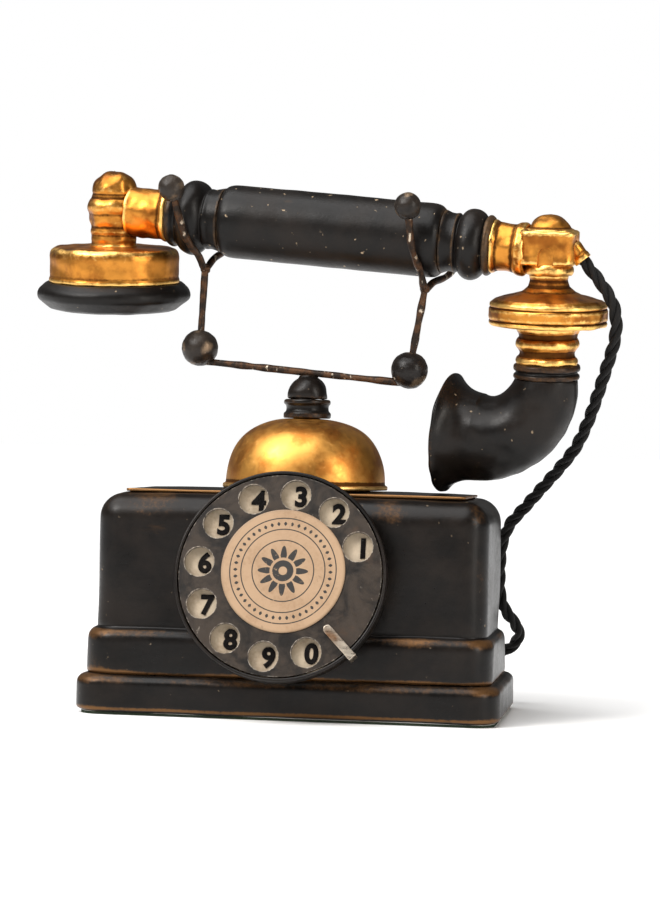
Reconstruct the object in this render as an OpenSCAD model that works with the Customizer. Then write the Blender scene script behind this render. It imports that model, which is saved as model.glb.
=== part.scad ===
// Cradle telephone: cased bell, rotary dial, fork cradle and a handset with a side-facing horn.
// Frame: +X to the right seen from the dial side, +Y to the back, +Z up.
// Origin: the centre of the underside of the base felt.

/* [Case] */
// Width of the plinth
plinth_w = 162.4; // [160:0.2:168]
// Depth of the plinth
plinth_d = 92.6; // [92:0.2:98]
// Height of the plinth's upright face
plinth_h = 11.7; // [10:0.1:13]
// Top of the skirt's upright face
skirt_top = 28.6; // [26:0.2:30]
// Top of the case
case_top = 84.2; // [83:0.1:84.6]
// How far the skirt stands in from the plinth, each side
plinth_step = 3.4; // [3:0.1:4]
// How far the upper case stands in from the skirt, each side
skirt_step = 2.8; // [2.4:0.1:4]
// Thickness of the case walls
wall = 3; // [2:0.1:3.2]
// Rounding of the case's upper edges
top_round = 9.5; // [7:0.5:10]

/* [Lid and bell] */
// Width of the lid plate
lid_w = 131.2; // [120:0.2:132]
// Depth of the lid plate
lid_d = 56.4; // [50:0.2:57]
// Radius of the gong
gong_r = 31.2; // [29:0.1:31.5]
// Height of the gong
gong_h = 27.6; // [25:0.1:28]

/* [Dial] */
// Outer radius of the dial's rim
dial_r = 40; // [40:0.1:41]
// Tilt of the dial, leaning back
dial_tilt = 14; // [12:0.5:15]
// Height of the dial's centre
dial_z = 55.2; // [55:0.1:56]
// Distance of the dial's face in front of the case's centre
dial_y = 54; // [54:0.1:56]
// Radius of the circle through the finger holes
hole_circle_r = 31; // [30:0.1:31.5]
// Radius of a finger hole
hole_r = 5.65; // [5:0.05:5.8]
// Place of the first finger hole, counter-clockwise from the right
first_hole = 22; // [20:1:24]
// Place of the finger stop, below the right
stop_angle = -46; // [-48:1:-44]

/* [Cradle] */
// Height of the cradle bar at the post
bar_z = 132.2; // [131:0.1:134]
// Slant of the cradle and handset, right end down
slant = 5; // [3:0.5:6]
// Turn of the cradle on its post, right end forward
twist = 6; // [4:0.5:7]
// Turn of each fork against the bar
fork_turn = 15; // [12:1:16]
// Radius of the cradle's wire
wire_r = 1.4; // [1.2:0.05:1.5]
// Travel of the cradle
cradle_travel = 4; // [2:0.5:5]

/* [Handset] */
// Height of the handle's axis above the cradle bar
grip_rise = 56.1; // [56:0.1:60]
// Roll of the handset, top forward
handset_roll = 8; // [4:0.5:9]
// Lean of the two heads against the handle
head_lean = 3.5; // [2:0.5:4]
// Radius of the grip
grip_r = 14.4; // [13:0.1:14.5]
// Outer radius of the ear cap
ear_r = 30.7; // [28:0.1:31]
// Radius of the horn's mouth
mouth_r = 23.6; // [20:0.1:23.7]

/* [Cord] */
// Diameter of the handset cord
cord_d = 5; // [4:0.1:5.2]

/* [Hidden] */
$fn = 96;

BLACK = [0.12, 0.10, 0.09];
GOLD = [0.80, 0.55, 0.20];
IRON = [0.25, 0.21, 0.18];
STEEL = [0.60, 0.60, 0.60];
BRASS = [0.75, 0.62, 0.30];
PAPER = [0.80, 0.72, 0.58];
COPPER = [0.70, 0.40, 0.22];
FIBRE = [0.35, 0.22, 0.14];

// Case heights and half sizes
felt_h = 1;
plate_top = 3;
skirt_w = plinth_w - 2 * plinth_step;
skirt_d = plinth_d - 2 * plinth_step - 0.8;
case_w = skirt_w - 2 * skirt_step;
case_d = skirt_d - 2 * skirt_step - 2;
corner_r = 11;
base_hole_x = plinth_w / 2 - 14;
base_hole_y = plinth_d / 2 - 12;
lid_foot = case_top + 0.4;
lid_edge = lid_foot + 1;
lid_top = lid_edge + 0.7;
hatch_w = 110;
hatch_d = 44;

// Bell and post
gong_z = lid_top + 0.4;
gong_wall = 1.5;
gong_top = gong_z + gong_h;
post_r = 5;
rod_r = 3;
rod_bore_r = rod_r + 0.05;
collar_r = 9.2;
collar_top = gong_top + 7.2;
post_foot = 60;
clapper_x = 22;
clapper_y = 10;
clapper_z = 94;
pivot_x = 49;
pivot_z = 58;

// Cradle
cap_r = 7.9;
cap_z = collar_top + 0.4;
cap_top = bar_z - 0.8;
big_ball_r = 7.2;
ball_rise = 5.1;
ball_left = -44.9;
ball_right = 40.3;
small_ball_r = 5.15;
joint_left = -46.3;
joint_right = 44.8;
fork_drop = 19.6;      // junction of the fork below the handle's axis
flange_z = 46;         // underside of the plunger's flange
spring_z = 36;
lever_x = -20;
lever_z = 49.3;
lever_arm = 16.4;

// Dial, measured along its axis, 0 at the wheel's face, negative inwards
dial_x = -1;
wheel_r = 38.2;
cup_depth = 6;
pan_top = -cup_depth + 1.4;
drum_r = 34;
drum_depth = 28;
frame_at = -15.5;
gear_at = -9.5;
gear_teeth = 54;
pinion_teeth = 12;
gear_module = 0.6;
gear_gap = gear_module * (gear_teeth + pinion_teeth) / 2;
pinion_tooth = 30;       // tooth of the main gear that faces the pinion
pinion_angle = pinion_tooth * 360 / gear_teeth;
shaft_r = 2.5;

// Handset, u along the handle, 0 above the cradle post
receiver_u = -86.4;
transmitter_u = 89.9;
grip_left = -40.5;
grip_right = 48.2;
tube_r = 3.5;
head_top = 15.6;
cup_r = 25.9;
disc_r = 22.8;
ring_r = 12.7;
horn_start = -48.9;
horn_bend = 24.6;
horn_sweep = 93.5;
horn_straight = 12.8;
horn_neck_r = 12;
horn_turn = 7;

// Handset cord: from the transmitter head down behind the case, into the rear grommet
cord_route = [
    [106.4, -11, 177.6], [110.8, -11, 172.2], [115.2, -11.6, 166.4], [118.6, -12, 160.4], [120, -11, 153.6],
    [119.3, -8.4, 146], [116.8, -3.8, 137.5], [113.4, 2.6, 127], [109.5, 9.5, 116], [104.5, 16.5, 105.5],
    [98, 22.5, 97], [91, 28, 89], [84, 34, 81], [78, 38.8, 74], [74.8, 41.6, 66],
    [74, 43, 56], [74.2, 43.6, 46.5], [75.7, 45, 40.4], [78.7, 48.1, 35.6], [81.1, 52.4, 31.4],
    [81.2, 57.3, 27.2], [78.2, 61.3, 23.2], [72.8, 63.1, 20.2], [66.7, 61.9, 18.6], [61.7, 58, 18.7],
    [58.8, 52.3, 19.7], [58, 45.9, 20.5]
];
grommet_x = 58;
grommet_z = 20.5;

// ---------- helpers ----------

function unit(v) = v / norm(v);
function mix(a, b, t) = a + (b - a) * t;
// Points of an arc in a profile, from angle a to angle b
function arc(x, y, r, a, b, n = 8) = [for (i = [0:n]) let (t = mix(a, b, i / n)) [x + r * cos(t), y + r * sin(t)]];
// Catmull-Rom curve through a list of points, n steps a span
function knot(p, i) = p[max(0, min(len(p) - 1, i))];
function curve_at(p, i, t) =
    let (a = knot(p, i - 1), b = knot(p, i), c = knot(p, i + 1), d = knot(p, i + 2))
    0.5 * (2 * b + (c - a) * t + (2 * a - 5 * b + 4 * c - d) * t * t + (3 * b - a - 3 * c + d) * t * t * t);
function curve(p, n) = concat([for (i = [0:len(p) - 2], k = [0:n - 1]) curve_at(p, i, k / n)], [p[len(p) - 1]]);
// Direction of travel at each point of a path
function heading(p) = [for (i = [0:len(p) - 1]) unit(knot(p, i + 1) - knot(p, i - 1))];
// Side vector carried along a path without spinning
function carried(h, i, m) = i == len(h) ? [] :
    let (k = unit(m - (m * h[i]) * h[i])) concat([k], carried(h, i + 1, k));
function side_start(v) = abs(v[2]) < 0.8 ? cross(v, [0, 0, 1]) : cross(v, [1, 0, 0]);

// Round tube along a path: one ring at each point
module swept(path, r, sides) {
    h = heading(path);
    m = carried(h, 0, unit(side_start(h[0])));
    n = len(path);
    rings = [for (i = [0:n - 1], k = [0:sides - 1])
        let (a = 360 * k / sides, b = cross(h[i], m[i])) path[i] + r * (cos(a) * m[i] + sin(a) * b)];
    walls = [for (i = [0:n - 2], k = [0:sides - 1])
        let (j = (k + 1) % sides) [i * sides + k, (i + 1) * sides + k, (i + 1) * sides + j, i * sides + j]];
    foot = [for (k = [0:sides - 1]) k];
    head = [for (k = [sides - 1:-1:0]) (n - 1) * sides + k];
    polyhedron(points = rings, faces = concat(walls, [foot, head]));
}

// Rectangle with round corners, centred
module plan(w, d, r) {
    square([w - 2 * r, d], center = true);
    square([w, d - 2 * r], center = true);
    for (x = [-1, 1], y = [-1, 1]) translate([x * (w / 2 - r), y * (d / 2 - r)]) circle(r);
}
module slab(w, d, h, r) { linear_extrude(h) plan(w, d, r); }

// Upright block whose top edge rounds inwards by `step` over a height `rise`
module moulded(w, d, z0, z1, step, rise) {
    hull() {
        translate([0, 0, z0]) slab(w, d, z1 - z0, corner_r, $fn = 32);
        for (a = [30, 60, 85])
            translate([0, 0, z1])
                slab(w - 2 * step * (1 - cos(a)), d - 2 * step * (1 - cos(a)), rise * sin(a), corner_r, $fn = 32);
    }
}
// Block with upright walls and a fully rounded top edge
module domed_block(w, d, z0, z1, r) {
    hull()
        for (x = [-1, 1], y = [-1, 1]) translate([x * (w / 2 - r), y * (d / 2 - r), 0]) {
            translate([0, 0, z0]) cylinder(h = z1 - r - z0, r = r, $fn = 32);
            translate([0, 0, z1 - r]) sphere(r, $fn = 32);
        }
}
module pipe(r, bore, z0, z1) {
    translate([0, 0, z0]) difference() {
        cylinder(h = z1 - z0, r = r);
        translate([0, 0, -1]) cylinder(h = z1 - z0 + 2, r = bore);
    }
}
module rod(r, z0, z1) { translate([0, 0, z0]) cylinder(h = z1 - z0, r = r); }
// Turned solid on the handle's axis: points are [radius, place along the handle]
module turned_u(points) { rotate([0, 90, 0]) rotate_extrude() polygon(points); }
module rod_u(r, u0, u1) { translate([u0, 0, 0]) rotate([0, 90, 0]) cylinder(h = u1 - u0, r = r); }

module in_cradle() { translate([0, 0, bar_z]) rotate([0, 0, -twist]) rotate([0, slant, 0]) children(); }
module in_handset() { in_cradle() translate([0, 0, grip_rise]) rotate([handset_roll, 0, 0]) children(); }
module in_receiver() { in_handset() translate([receiver_u, 0, 0]) rotate([0, -head_lean, 0]) children(); }
module in_transmitter() { in_handset() translate([transmitter_u, 0, 0]) rotate([0, -head_lean, 0]) children(); }
module in_dial() { translate([dial_x, -dial_y, dial_z]) rotate([90 - dial_tilt, 0, 0]) children(); }
module at_base_holes() { for (x = [-1, 1], y = [-1, 1]) translate([x * base_hole_x, y * base_hole_y, 0]) children(); }

// ---------- case ----------

module base_felt() {
    color("DarkOliveGreen") difference() {
        slab(plinth_w - 4, plinth_d - 4, felt_h, corner_r - 2);
        at_base_holes() rod(3.6, -1, 2);
    }
}
module base_plate() {
    color(STEEL) difference() {
        translate([0, 0, felt_h]) slab(plinth_w - 4, plinth_d - 4, plate_top - felt_h, corner_r - 2);
        at_base_holes() rod(1.6, 0, 4);
    }
}
module base_screws() {
    color(BRASS) at_base_holes() {
        rod(3, felt_h - 0.8, felt_h);
        rod(1.55, felt_h, 9);
    }
}
module plinth() {
    color(BLACK) difference() {
        moulded(plinth_w, plinth_d, felt_h, plinth_h, plinth_step, 3.4);
        translate([0, 0, 0]) slab(plinth_w - 3.9, plinth_d - 3.9, plate_top, corner_r - 2);
        difference() {
            slab(skirt_w - 2 * wall, skirt_d - 2 * wall, 20, 8);
            at_base_holes() rod(8.6, 0, 10);
        }
        at_base_holes() rod(1.6, 0, 9.5);
        in_dial() rod(dial_r + 0.6, -cup_depth - 0.4, 2);
    }
}
module housing() {
    base = plinth_h + 3.4;
    color(BLACK) difference() {
        union() {
            moulded(skirt_w, skirt_d, base, skirt_top, skirt_step + 0.6, 4);
            domed_block(case_w, case_d, base, case_top, top_round);
        }
        domed_block(case_w - 2 * wall, case_d - 2 * wall, base - 1, case_top - wall, top_round - wall);
        translate([0, 0, case_top - 10]) slab(hatch_w, hatch_d, 20, 4);
        in_dial() rod(drum_r + 0.05, -60, 5);
        translate([grommet_x, skirt_d / 2 + 5, grommet_z]) rotate([90, 0, 0]) cylinder(h = 20, r = 4);
    }
}
module lid() {
    color(BLACK) difference() {
        union() {
            translate([0, 0, case_top - 2]) slab(hatch_w - 0.4, hatch_d - 0.4, 2.4, 4);
            translate([0, 0, case_top]) slab(lid_w - 2.4, lid_d - 2.4, lid_foot - case_top, 1.5);
            hull() {
                translate([0, 0, lid_foot]) slab(lid_w, lid_d, 1, 2, $fn = 32);
                translate([0, 0, lid_top - 0.3]) slab(lid_w - 46, lid_d - 30, 0.3, 2, $fn = 32);
            }
        }
        rod(post_r + 0.05, case_top - 5, lid_top + 5);
        translate([clapper_x - 4.5, clapper_y - 2.5, case_top - 5]) cube([9, 5, 12]);
    }
}

// ---------- bell ----------

// Flat-crowned bell outline: (r/R)^2.6 + (z/H)^2.6 = 1
function bell(r, h, n = 20) = [for (i = [0:n]) let (a = 90 * i / n)
    [r * pow(cos(a), 2 / 2.6), h * pow(sin(a), 2 / 2.6)]];
module gong() {
    color(GOLD) translate([0, 0, gong_z]) difference() {
        union() {
            rotate_extrude() polygon(concat(bell(gong_r, gong_h), [[0, 0]]));
            cylinder(h = 1.8, r = gong_r + 1.1);
        }
        translate([0, 0, -0.01])
            rotate_extrude() polygon(concat(bell(gong_r - gong_wall, gong_h - gong_wall), [[0, 0]]));
        rod(post_r + 0.05, 10, 40);
    }
}
module gong_spacer() { color(BRASS) pipe(7, post_r + 0.05, lid_top, gong_top - gong_wall - 0.3); }
module cradle_post() {
    color(BLACK) difference() {
        union() {
            rod(post_r, post_foot, collar_top);
            rod(collar_r, gong_top, gong_top + 2);
            rod(collar_r - 1.2, gong_top + 2, collar_top - 1.6);
            rod(collar_r, collar_top - 1.6, collar_top);
        }
        rod(rod_bore_r, post_foot - 1, collar_top + 1);
    }
}
module post_nut() {
    color(BRASS) difference() {
        translate([0, 0, case_top - 6]) cylinder(h = 4, r = 8.5, $fn = 6);
        rod(post_r + 0.02, 0, case_top);
    }
}

// ---------- cradle ----------

module plunger() {
    color(STEEL) {
        rod(rod_r, flange_z + 2, cap_z + 5);
        rod(5, flange_z, flange_z + 2);
        rod(2, flange_z - 5, flange_z);
    }
}
module cradle_cap() {
    color(BLACK) difference() {
        translate([0, 0, cap_z]) rotate_extrude()
            polygon(concat([[0, 0], [cap_r, 0]], arc(0, 1.2, cap_r, 0, 60, 10), [[3.6, cap_top - cap_z], [0, cap_top - cap_z]]));
        rod(rod_r, cap_z - 1, cap_z + 5);
        in_cradle() rod_u(wire_r, -20, 20);
    }
}
module cradle_bar() { color(IRON) in_cradle() rod_u(wire_r, ball_left, ball_right); }

// Places in the plane of a fork, seen from the end of the handle: [across, up], 0 on the handle's axis
fork_elbow = [17.5, -8.2];
fork_tip = [31, 8.8];
short_tip = [27.5, 5];
// A fork point carried to the cradle: joint place along the bar, roll about the handle
function fork_point(p, joint, roll) =
    let (v = p[0] * cos(roll) + p[1] * sin(roll), w = -p[0] * sin(roll) + p[1] * cos(roll))
    [joint + v * sin(fork_turn), v * cos(fork_turn), grip_rise + w];
function prongs(joint, roll, tip) =
    [for (p = curve([[-tip[0], tip[1]], [-fork_elbow[0], fork_elbow[1]], [-6, -fork_drop + 4.6],
        [0, -fork_drop], [6, -fork_drop + 4.6], fork_elbow, tip], 4)) fork_point(p, joint, roll)];
module fork(ball, joint, roll, tip) {
    foot = [ball, 0, ball_rise];
    neck = fork_point([0, -fork_drop], joint, roll);
    color(IRON) in_cradle() {
        swept(prongs(joint, roll, tip), wire_r, 12);
        swept([foot, mix(foot, neck, 0.5), neck], wire_r, 12);
    }
}
left_roll = 0;
right_roll = 12;
module fork_left() { fork(ball_left, joint_left, left_roll, fork_tip); }
module fork_right() { fork(ball_right, joint_right, right_roll, short_tip); }
// Straight round hole from a to b
module bore_between(a, b, r) {
    d = b - a;
    translate(a) rotate([0, acos(d[2] / norm(d)), atan2(d[1], d[0])]) cylinder(h = norm(d), r = r);
}
module drilled_ball(ball, joint, roll) {
    foot = [ball, 0, ball_rise];
    neck = fork_point([0, -fork_drop], joint, roll);
    difference() {
        translate(foot) sphere(big_ball_r);
        rod_u(wire_r + 0.02, ball_left - 0.02, ball_right + 0.02);
        bore_between(mix(foot, neck, -0.01), neck, wire_r + 0.03);
    }
}
module bar_balls() {
    color(BLACK) in_cradle() {
        drilled_ball(ball_left, joint_left, left_roll);
        drilled_ball(ball_right, joint_right, right_roll);
    }
}
module end_balls(joint, roll, tip) {
    p = prongs(joint, roll, tip);
    last = len(p) - 1;
    for (k = [[p[0], p[1]], [p[last], p[last - 1]]]) difference() {
        translate(k[0]) sphere(small_ball_r);
        bore_between(mix(k[0], k[1], -0.02), mix(k[0], k[1], 4), wire_r + 0.12);
    }
}
module fork_balls() {
    color(BLACK) in_cradle() {
        end_balls(joint_left, left_roll, fork_tip);
        end_balls(joint_right, right_roll, short_tip);
    }
}

// ---------- hook switch ----------

module hook_spring() {
    turns = 5;
    rise = flange_z - spring_z - 1;
    color(STEEL) swept([for (i = [0:12 * turns]) let (a = 30 * i)
        [3.6 * cos(a), 3.6 * sin(a), spring_z + 0.5 + rise * i / (12 * turns)]], 0.45, 6);
}
module switch_bracket() {
    color(STEEL) difference() {
        union() {
            translate([-30, -8, spring_z - 2]) cube([40, 16, 2]);
            for (x = [-30, 8]) translate([x, -8, plate_top]) cube([2, 16, spring_z - 2 - plate_top]);
            for (y = [-6, 4]) translate([lever_x - 4, y, spring_z]) cube([8, 2, 17]);
        }
        translate([lever_x, 10, lever_z]) rotate([90, 0, 0]) cylinder(h = 20, r = 1.5);
        rod(2.4, 30, 40);
    }
}
module hook_lever() {
    color(BRASS) difference() {
        translate([lever_x - lever_arm, -3.2, lever_z - 1]) cube([2 * lever_arm, 6.4, 2]);
        translate([lever_x, 10, lever_z]) rotate([90, 0, 0]) cylinder(h = 20, r = 0.8);
        rod(rod_r + 0.4, 40, 60);
    }
}
module lever_pin() {
    color(STEEL) translate([lever_x, 6, lever_z]) rotate([90, 0, 0]) {
        cylinder(h = 12, r = 0.75);
        for (z = [0, 10]) translate([0, 0, z]) cylinder(h = 2, r = 1.5);
    }
}
module switch_contacts() {
    for (y = [-2.6, 0.6]) translate([0, y, 0]) {
        color(COPPER) translate([-29, 0, spring_z]) cube([1, 2, 9]);
        color(COPPER) translate([-29, 0, spring_z + 9]) cube([6, 2, 0.6]);
    }
}

// ---------- dial ----------

function hole_angle(i) = first_hole + 30 * i;
module dial_cup() {
    color(BLACK) in_dial() {
        difference() {
            rod(dial_r, -cup_depth, pan_top);
            rod(8, -cup_depth - 2, 0);
        }
    }
}
module cup_rim() { color(BLACK) in_dial() pipe(dial_r, wheel_r + 0.5, pan_top, 0.2); }
module number_plate() {
    color(PAPER) in_dial() difference() {
        rod(wheel_r, pan_top, pan_top + 0.8);
        rod(shaft_r + 0.05, -20, 0);
    }
}
module finger_wheel() {
    color([0.22, 0.20, 0.18]) in_dial() difference() {
        rod(wheel_r, -2, 0);
        for (i = [0:9]) rotate(hole_angle(i)) translate([hole_circle_r, 0, 0]) rod(hole_r, -3, 1);
        rod(shaft_r, -3, 1);
    }
}
module label_disc() {
    color(PAPER) in_dial() translate([1.2, 1.6, 0]) rod(23.4, 0, 0.6);
}
module finger_stop() {
    color(STEEL) in_dial() rotate(stop_angle) {
        translate([26.2, -1.6, 0.8]) cube([15.8, 3.2, 1]);
        translate([dial_r + 0.05, -1.6, -5]) cube([1.95, 3.2, 5.8]);
    }
}
module dial_shaft() {
    color(STEEL) in_dial() {
        rod(shaft_r, -26, 0);
        rod(5, -3.4, -2);
    }
}
// Straight-flanked gear: tooth width a little under half the pitch at the pitch circle
module gear(teeth, thick) {
    r = gear_module * teeth / 2;
    step = 360 / teeth;
    outline = [for (i = [0:teeth - 1], k = [[-0.34, -1.2], [-0.2, 0], [-0.09, 0.8], [0.09, 0.8], [0.2, 0], [0.34, -1.2]])
        let (a = (i + k[0]) * step, q = r + k[1] * gear_module) [q * cos(a), q * sin(a)]];
    linear_extrude(thick) polygon(outline);
}
module dial_gear() {
    color(BRASS) in_dial() translate([0, 0, gear_at]) difference() {
        gear(gear_teeth, 1.5);
        rod(shaft_r, -1, 3);
    }
}
module at_pinion() { in_dial() rotate(pinion_angle) translate([gear_gap, 0, 0]) children(); }
module governor_pinion() {
    color(BRASS) at_pinion() {
        rotate(180 / pinion_teeth) translate([0, 0, gear_at]) gear(pinion_teeth, 1.5);
        rod(1.2, -24, gear_at);
        rod(5, -21, -19);
    }
}
module dial_frame() {
    color(STEEL) difference() {
        union() {
            in_dial() rod(drum_r - 1, frame_at, frame_at + 1.5);
            in_dial() pipe(drum_r, drum_r - 2, -drum_depth, -cup_depth);
            at_pinion() pipe(7, 6, -22, frame_at + 0.5);
        }
        in_dial() rod(shaft_r + 0.05, -20, 0);
        at_pinion() rod(1.25, -20, 0);
    }
}
module spring_barrel() { color(BRASS) in_dial() pipe(11, shaft_r + 0.05, -22, frame_at); }
module impulse_contacts() {
    color(COPPER) in_dial() for (i = [0:2]) translate([16 + 2 * i, -9, -22]) cube([0.6, 18, 6.5]);
    color(FIBRE) in_dial() translate([16.6, 2, -20]) cube([1.4, 5, 4.5]);
    color(FIBRE) in_dial() translate([18.6, 2, -20]) cube([1.4, 5, 4.5]);
}

// ---------- ringer ----------

coil_x = [36, 62];
coil_y = 12;
core_top = 51;
module ringer_frame() {
    color(IRON) difference() {
        union() {
            translate([28, 4, 16]) cube([42, 16, 3]);
            translate([28, 4, plate_top]) cube([3, 16, 13]);
            translate([67, 4, plate_top]) cube([3, 16, 13]);
            translate([28, 22, plate_top]) cube([42, 2, 60]);
            translate([28, 20, 16]) cube([42, 2, 3]);
            translate([pivot_x - 4, 17.6, pivot_z - 5]) cube([8, 4.4, 10]);
        }
        translate([pivot_x, 30, pivot_z]) rotate([90, 0, 0]) cylinder(h = 40, r = 1);
    }
}
module ringer_coils() {
    for (x = coil_x) translate([x, coil_y, 0]) {
        color(STEEL) rod(3.5, 19, core_top);
        color(FIBRE) pipe(7.4, 3.5, 19, 20.5);
        color(FIBRE) pipe(7.4, 3.5, 47.5, 49);
        color(COPPER) pipe(6.6, 3.5, 20.5, 47.5);
    }
}
module armature() {
    color(IRON) difference() {
        union() {
            translate([32, 7, 52.6]) cube([34, 10, 2]);
            translate([pivot_x - 4, 7, 54.6]) cube([8, 10, 7]);
        }
        translate([pivot_x, 30, pivot_z]) rotate([90, 0, 0]) cylinder(h = 40, r = 1.05);
    }
}
module armature_pin() {
    color(STEEL) translate([pivot_x, 23.8, pivot_z]) rotate([90, 0, 0]) {
        cylinder(h = 17.6, r = 1);
        translate([0, 0, 17.6]) cylinder(h = 1, r = 1.8);
    }
}
module clapper() {
    color(BRASS) {
        translate([clapper_x, clapper_y, pivot_z]) rotate([0, 90, 0]) cylinder(h = pivot_x - 4 - clapper_x, r = 1);
        translate([clapper_x, clapper_y, pivot_z]) sphere(1.4);
        translate([clapper_x, clapper_y, 0]) rod(1, pivot_z, clapper_z);
        translate([clapper_x, clapper_y, clapper_z]) sphere(3);
    }
}

// ---------- electrical parts ----------

module condenser() { color(STEEL) translate([-66, -2, plate_top]) cube([16, 26, 38]); }
module induction_coil() {
    color(FIBRE) for (y = [-24, -6]) translate([-62, y, plate_top]) cube([16, 2, 17]);
    color(COPPER) translate([-54, -6, 12]) rotate([90, 0, 0]) cylinder(h = 16, r = 7);
}
module terminal_block() { color(FIBRE) translate([-44, 16, plate_top]) cube([34, 14, 10]); }
module terminal_screws() {
    color(BRASS) for (i = [0:4]) translate([-41 + 7 * i, 23, plate_top + 10]) {
        cylinder(h = 2, r = 2.4);
    }
}
module cord_grommet() {
    y = skirt_d / 2;
    color(BLACK) translate([grommet_x, y, grommet_z]) rotate([90, 0, 0]) difference() {
        union() {
            translate([0, 0, -3]) cylinder(h = 3, r = 4.8);
            cylinder(h = 4, r = 3.95);
        }
        translate([0, 0, -3.1]) cylinder(h = 8, r = cord_d / 2 - 0.4);
    }
}

// ---------- handset ----------

module handle_tube() { color(STEEL) in_handset() rod_u(tube_r, -80, 82); }
module grip() {
    color(BLACK) in_handset() difference() {
        turned_u([[0, grip_left], [12.6, grip_left], [grip_r - 0.2, grip_left + 2.4], [grip_r, grip_left + 5],
            [grip_r, grip_right - 5], [grip_r - 0.2, grip_right - 2.4], [12.4, grip_right], [0, grip_right]]);
        rod_u(tube_r, grip_left - 1, grip_right + 1);
    }
}
module ferrules() {
    color(BLACK) in_handset() difference() {
        union() {
            turned_u(concat([[0, -62.5], [11.4, -62.5], [12, -60.5], [11.2, -58.6]], arc(9.2, -52.8, 5.6, -70, 70, 12),
                [[12.2, -46.6], [12.2, -44], [12.6, grip_left], [0, grip_left]]));
            turned_u(concat([[0, grip_right], [12.4, grip_right], [11.4, 51.2], [11.4, 53.4]], arc(8.5, 59.8, 5.3, -70, 70, 12),
                [[11.6, 65.4], [10.6, 67.6], [0, 67.6]]));
        }
        rod_u(tube_r, -70, 70);
    }
}
module receiver_knob() {
    rotate_extrude() polygon(concat(
        [[0, -14.4], [9.2, -14.4], [9.1, -8.4], [9.8, -4.6]], arc(6.3, 1.2, 4.5, -35, 55, 6), [[8.6, 6.5], [8.8, 7.4]],
        arc(0.2, 6.9, 8.7, 8, 80, 8), [[0, head_top]]));
}
module transmitter_block() {
    translate([0, 0, -5]) linear_extrude(13.2) plan(21, 19.6, 3.5);
    rotate_extrude() polygon(concat([[0, 7], [9.4, 7]], arc(0, 4.6, 9.6, 18, 80, 8), [[0, 14.2]]));
    rotate_extrude() polygon([[0, -8.8], [8.6, -8.8], [9.2, -6.9], [8.6, -5], [0, -5]]);
}
module sleeves() {
    color(GOLD) in_handset() {
        difference() {
            turned_u([[0, -80], [9.9, -80], [9.9, -65], [10.5, -64], [10.3, -62.5], [0, -62.5]]);
            rod_u(tube_r, -90, -50);
            translate([receiver_u, 0, 0]) rotate([0, -head_lean, 0]) receiver_knob();
        }
        difference() {
            turned_u([[0, 67.6], [10.4, 67.6], [9.6, 69.2], [9.3, 77], [10.2, 78], [10.2, 82], [0, 82]]);
            rod_u(tube_r, 60, 90);
            translate([transmitter_u, 0, 0]) rotate([0, -head_lean, 0]) translate([-10.55, -20, -30]) cube([40, 40, 60]);
        }
    }
}
module receiver_head() {
    color(GOLD) difference() {
        in_receiver() receiver_knob();
        in_handset() rod_u(tube_r, -80.05, -60);
    }
}
module receiver_cup() {
    color(GOLD) in_receiver() difference() {
        rotate_extrude() polygon(concat([[0, -28.6], [cup_r + 0.3, -28.6], [cup_r, -26], [cup_r - 0.3, -18]],
            arc(cup_r - 3, -17.4, 2.6, 10, 80, 5), [[9, -14.4], [0, -14.4]]));
        rod(cup_r - 2, -30, -17);
    }
}
module ear_cap() {
    color(BLACK) in_receiver() difference() {
        rotate_extrude() polygon(concat([[0, -28.6], [cup_r + 1.2, -28.6]], arc(ear_r - 3.6, -33.2, 3.6, 50, -30, 8),
            [[25.4, -39], [20, -40], [0, -37.6]]));
        rod(cup_r - 2.5, -30.4, -28);
        for (a = [0:60:300]) rotate(a) translate([6, 0, 0]) rod(1.4, -50, -20);
        rod(1.4, -50, -20);
    }
}
module receiver_unit() {
    color(STEEL) in_receiver() {
        rod(cup_r - 3, -29.6, -28.8);
        rod(cup_r - 6, -28.8, -22);
    }
}
module transmitter_head() {
    color(GOLD) difference() {
        in_transmitter() transmitter_block();
        in_handset() rod_u(tube_r, 60, 82.05);
        in_transmitter() translate([-3, -12, -5.5]) cube([6, 3.6, 4]);
        in_transmitter() translate([0, -8.4, -1.5]) rotate([90, 0, 0]) cylinder(h = 4, r = 3);
    }
}
module transmitter_disc() {
    color(GOLD) in_transmitter() difference() {
        rotate_extrude() polygon(concat([[0, -8.8], [7.6, -8.8], [7.2, -11], [8, -13.6], [11, -15.8]],
            [[disc_r - 3, -18], [disc_r - 0.4, -19], [disc_r - 0.2, -21.1], [disc_r - 0.8, -21.4], [disc_r, -21.8],
            [disc_r, -26], [disc_r - 0.8, -26.4], [disc_r - 0.2, -27.4], [disc_r - 2, -28.6], [0, -28.6]]));
        rod(disc_r - 3, -30, -21);
    }
}
module transmitter_unit() { color(STEEL) in_transmitter() rod(disc_r - 4, -26.4, -21.4); }
module mouth_tube() {
    color(GOLD) in_transmitter() difference() {
        union() {
            rod(disc_r - 3.1, -28.6, -27);
            rotate_extrude() polygon(concat([[0, -43.2], [11.7, -43.2], [11.9, -41.6], [10.8, -39.8], [10.9, -38.4]],
                [[12.3, -36.4], [12.3, -34.6], [11.1, -32.9], [11.3, -31.4], [12, -30.2], [12, -28.6], [0, -28.6]]));
        }
        rod(8, -50, -20);
    }
}
module tube_rings() {
    color(BLACK) in_transmitter() difference() {
        rotate_extrude() polygon([[0, horn_start], [ring_r - 0.2, horn_start], [ring_r, -48], [ring_r, -47.4], [11.9, -46.8],
            [11.9, -46.2], [ring_r + 0.1, -45.6], [ring_r + 0.1, -43.8], [ring_r - 0.6, -43.2], [0, -43.2]]);
        rod(8, -60, -20);
    }
}

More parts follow.
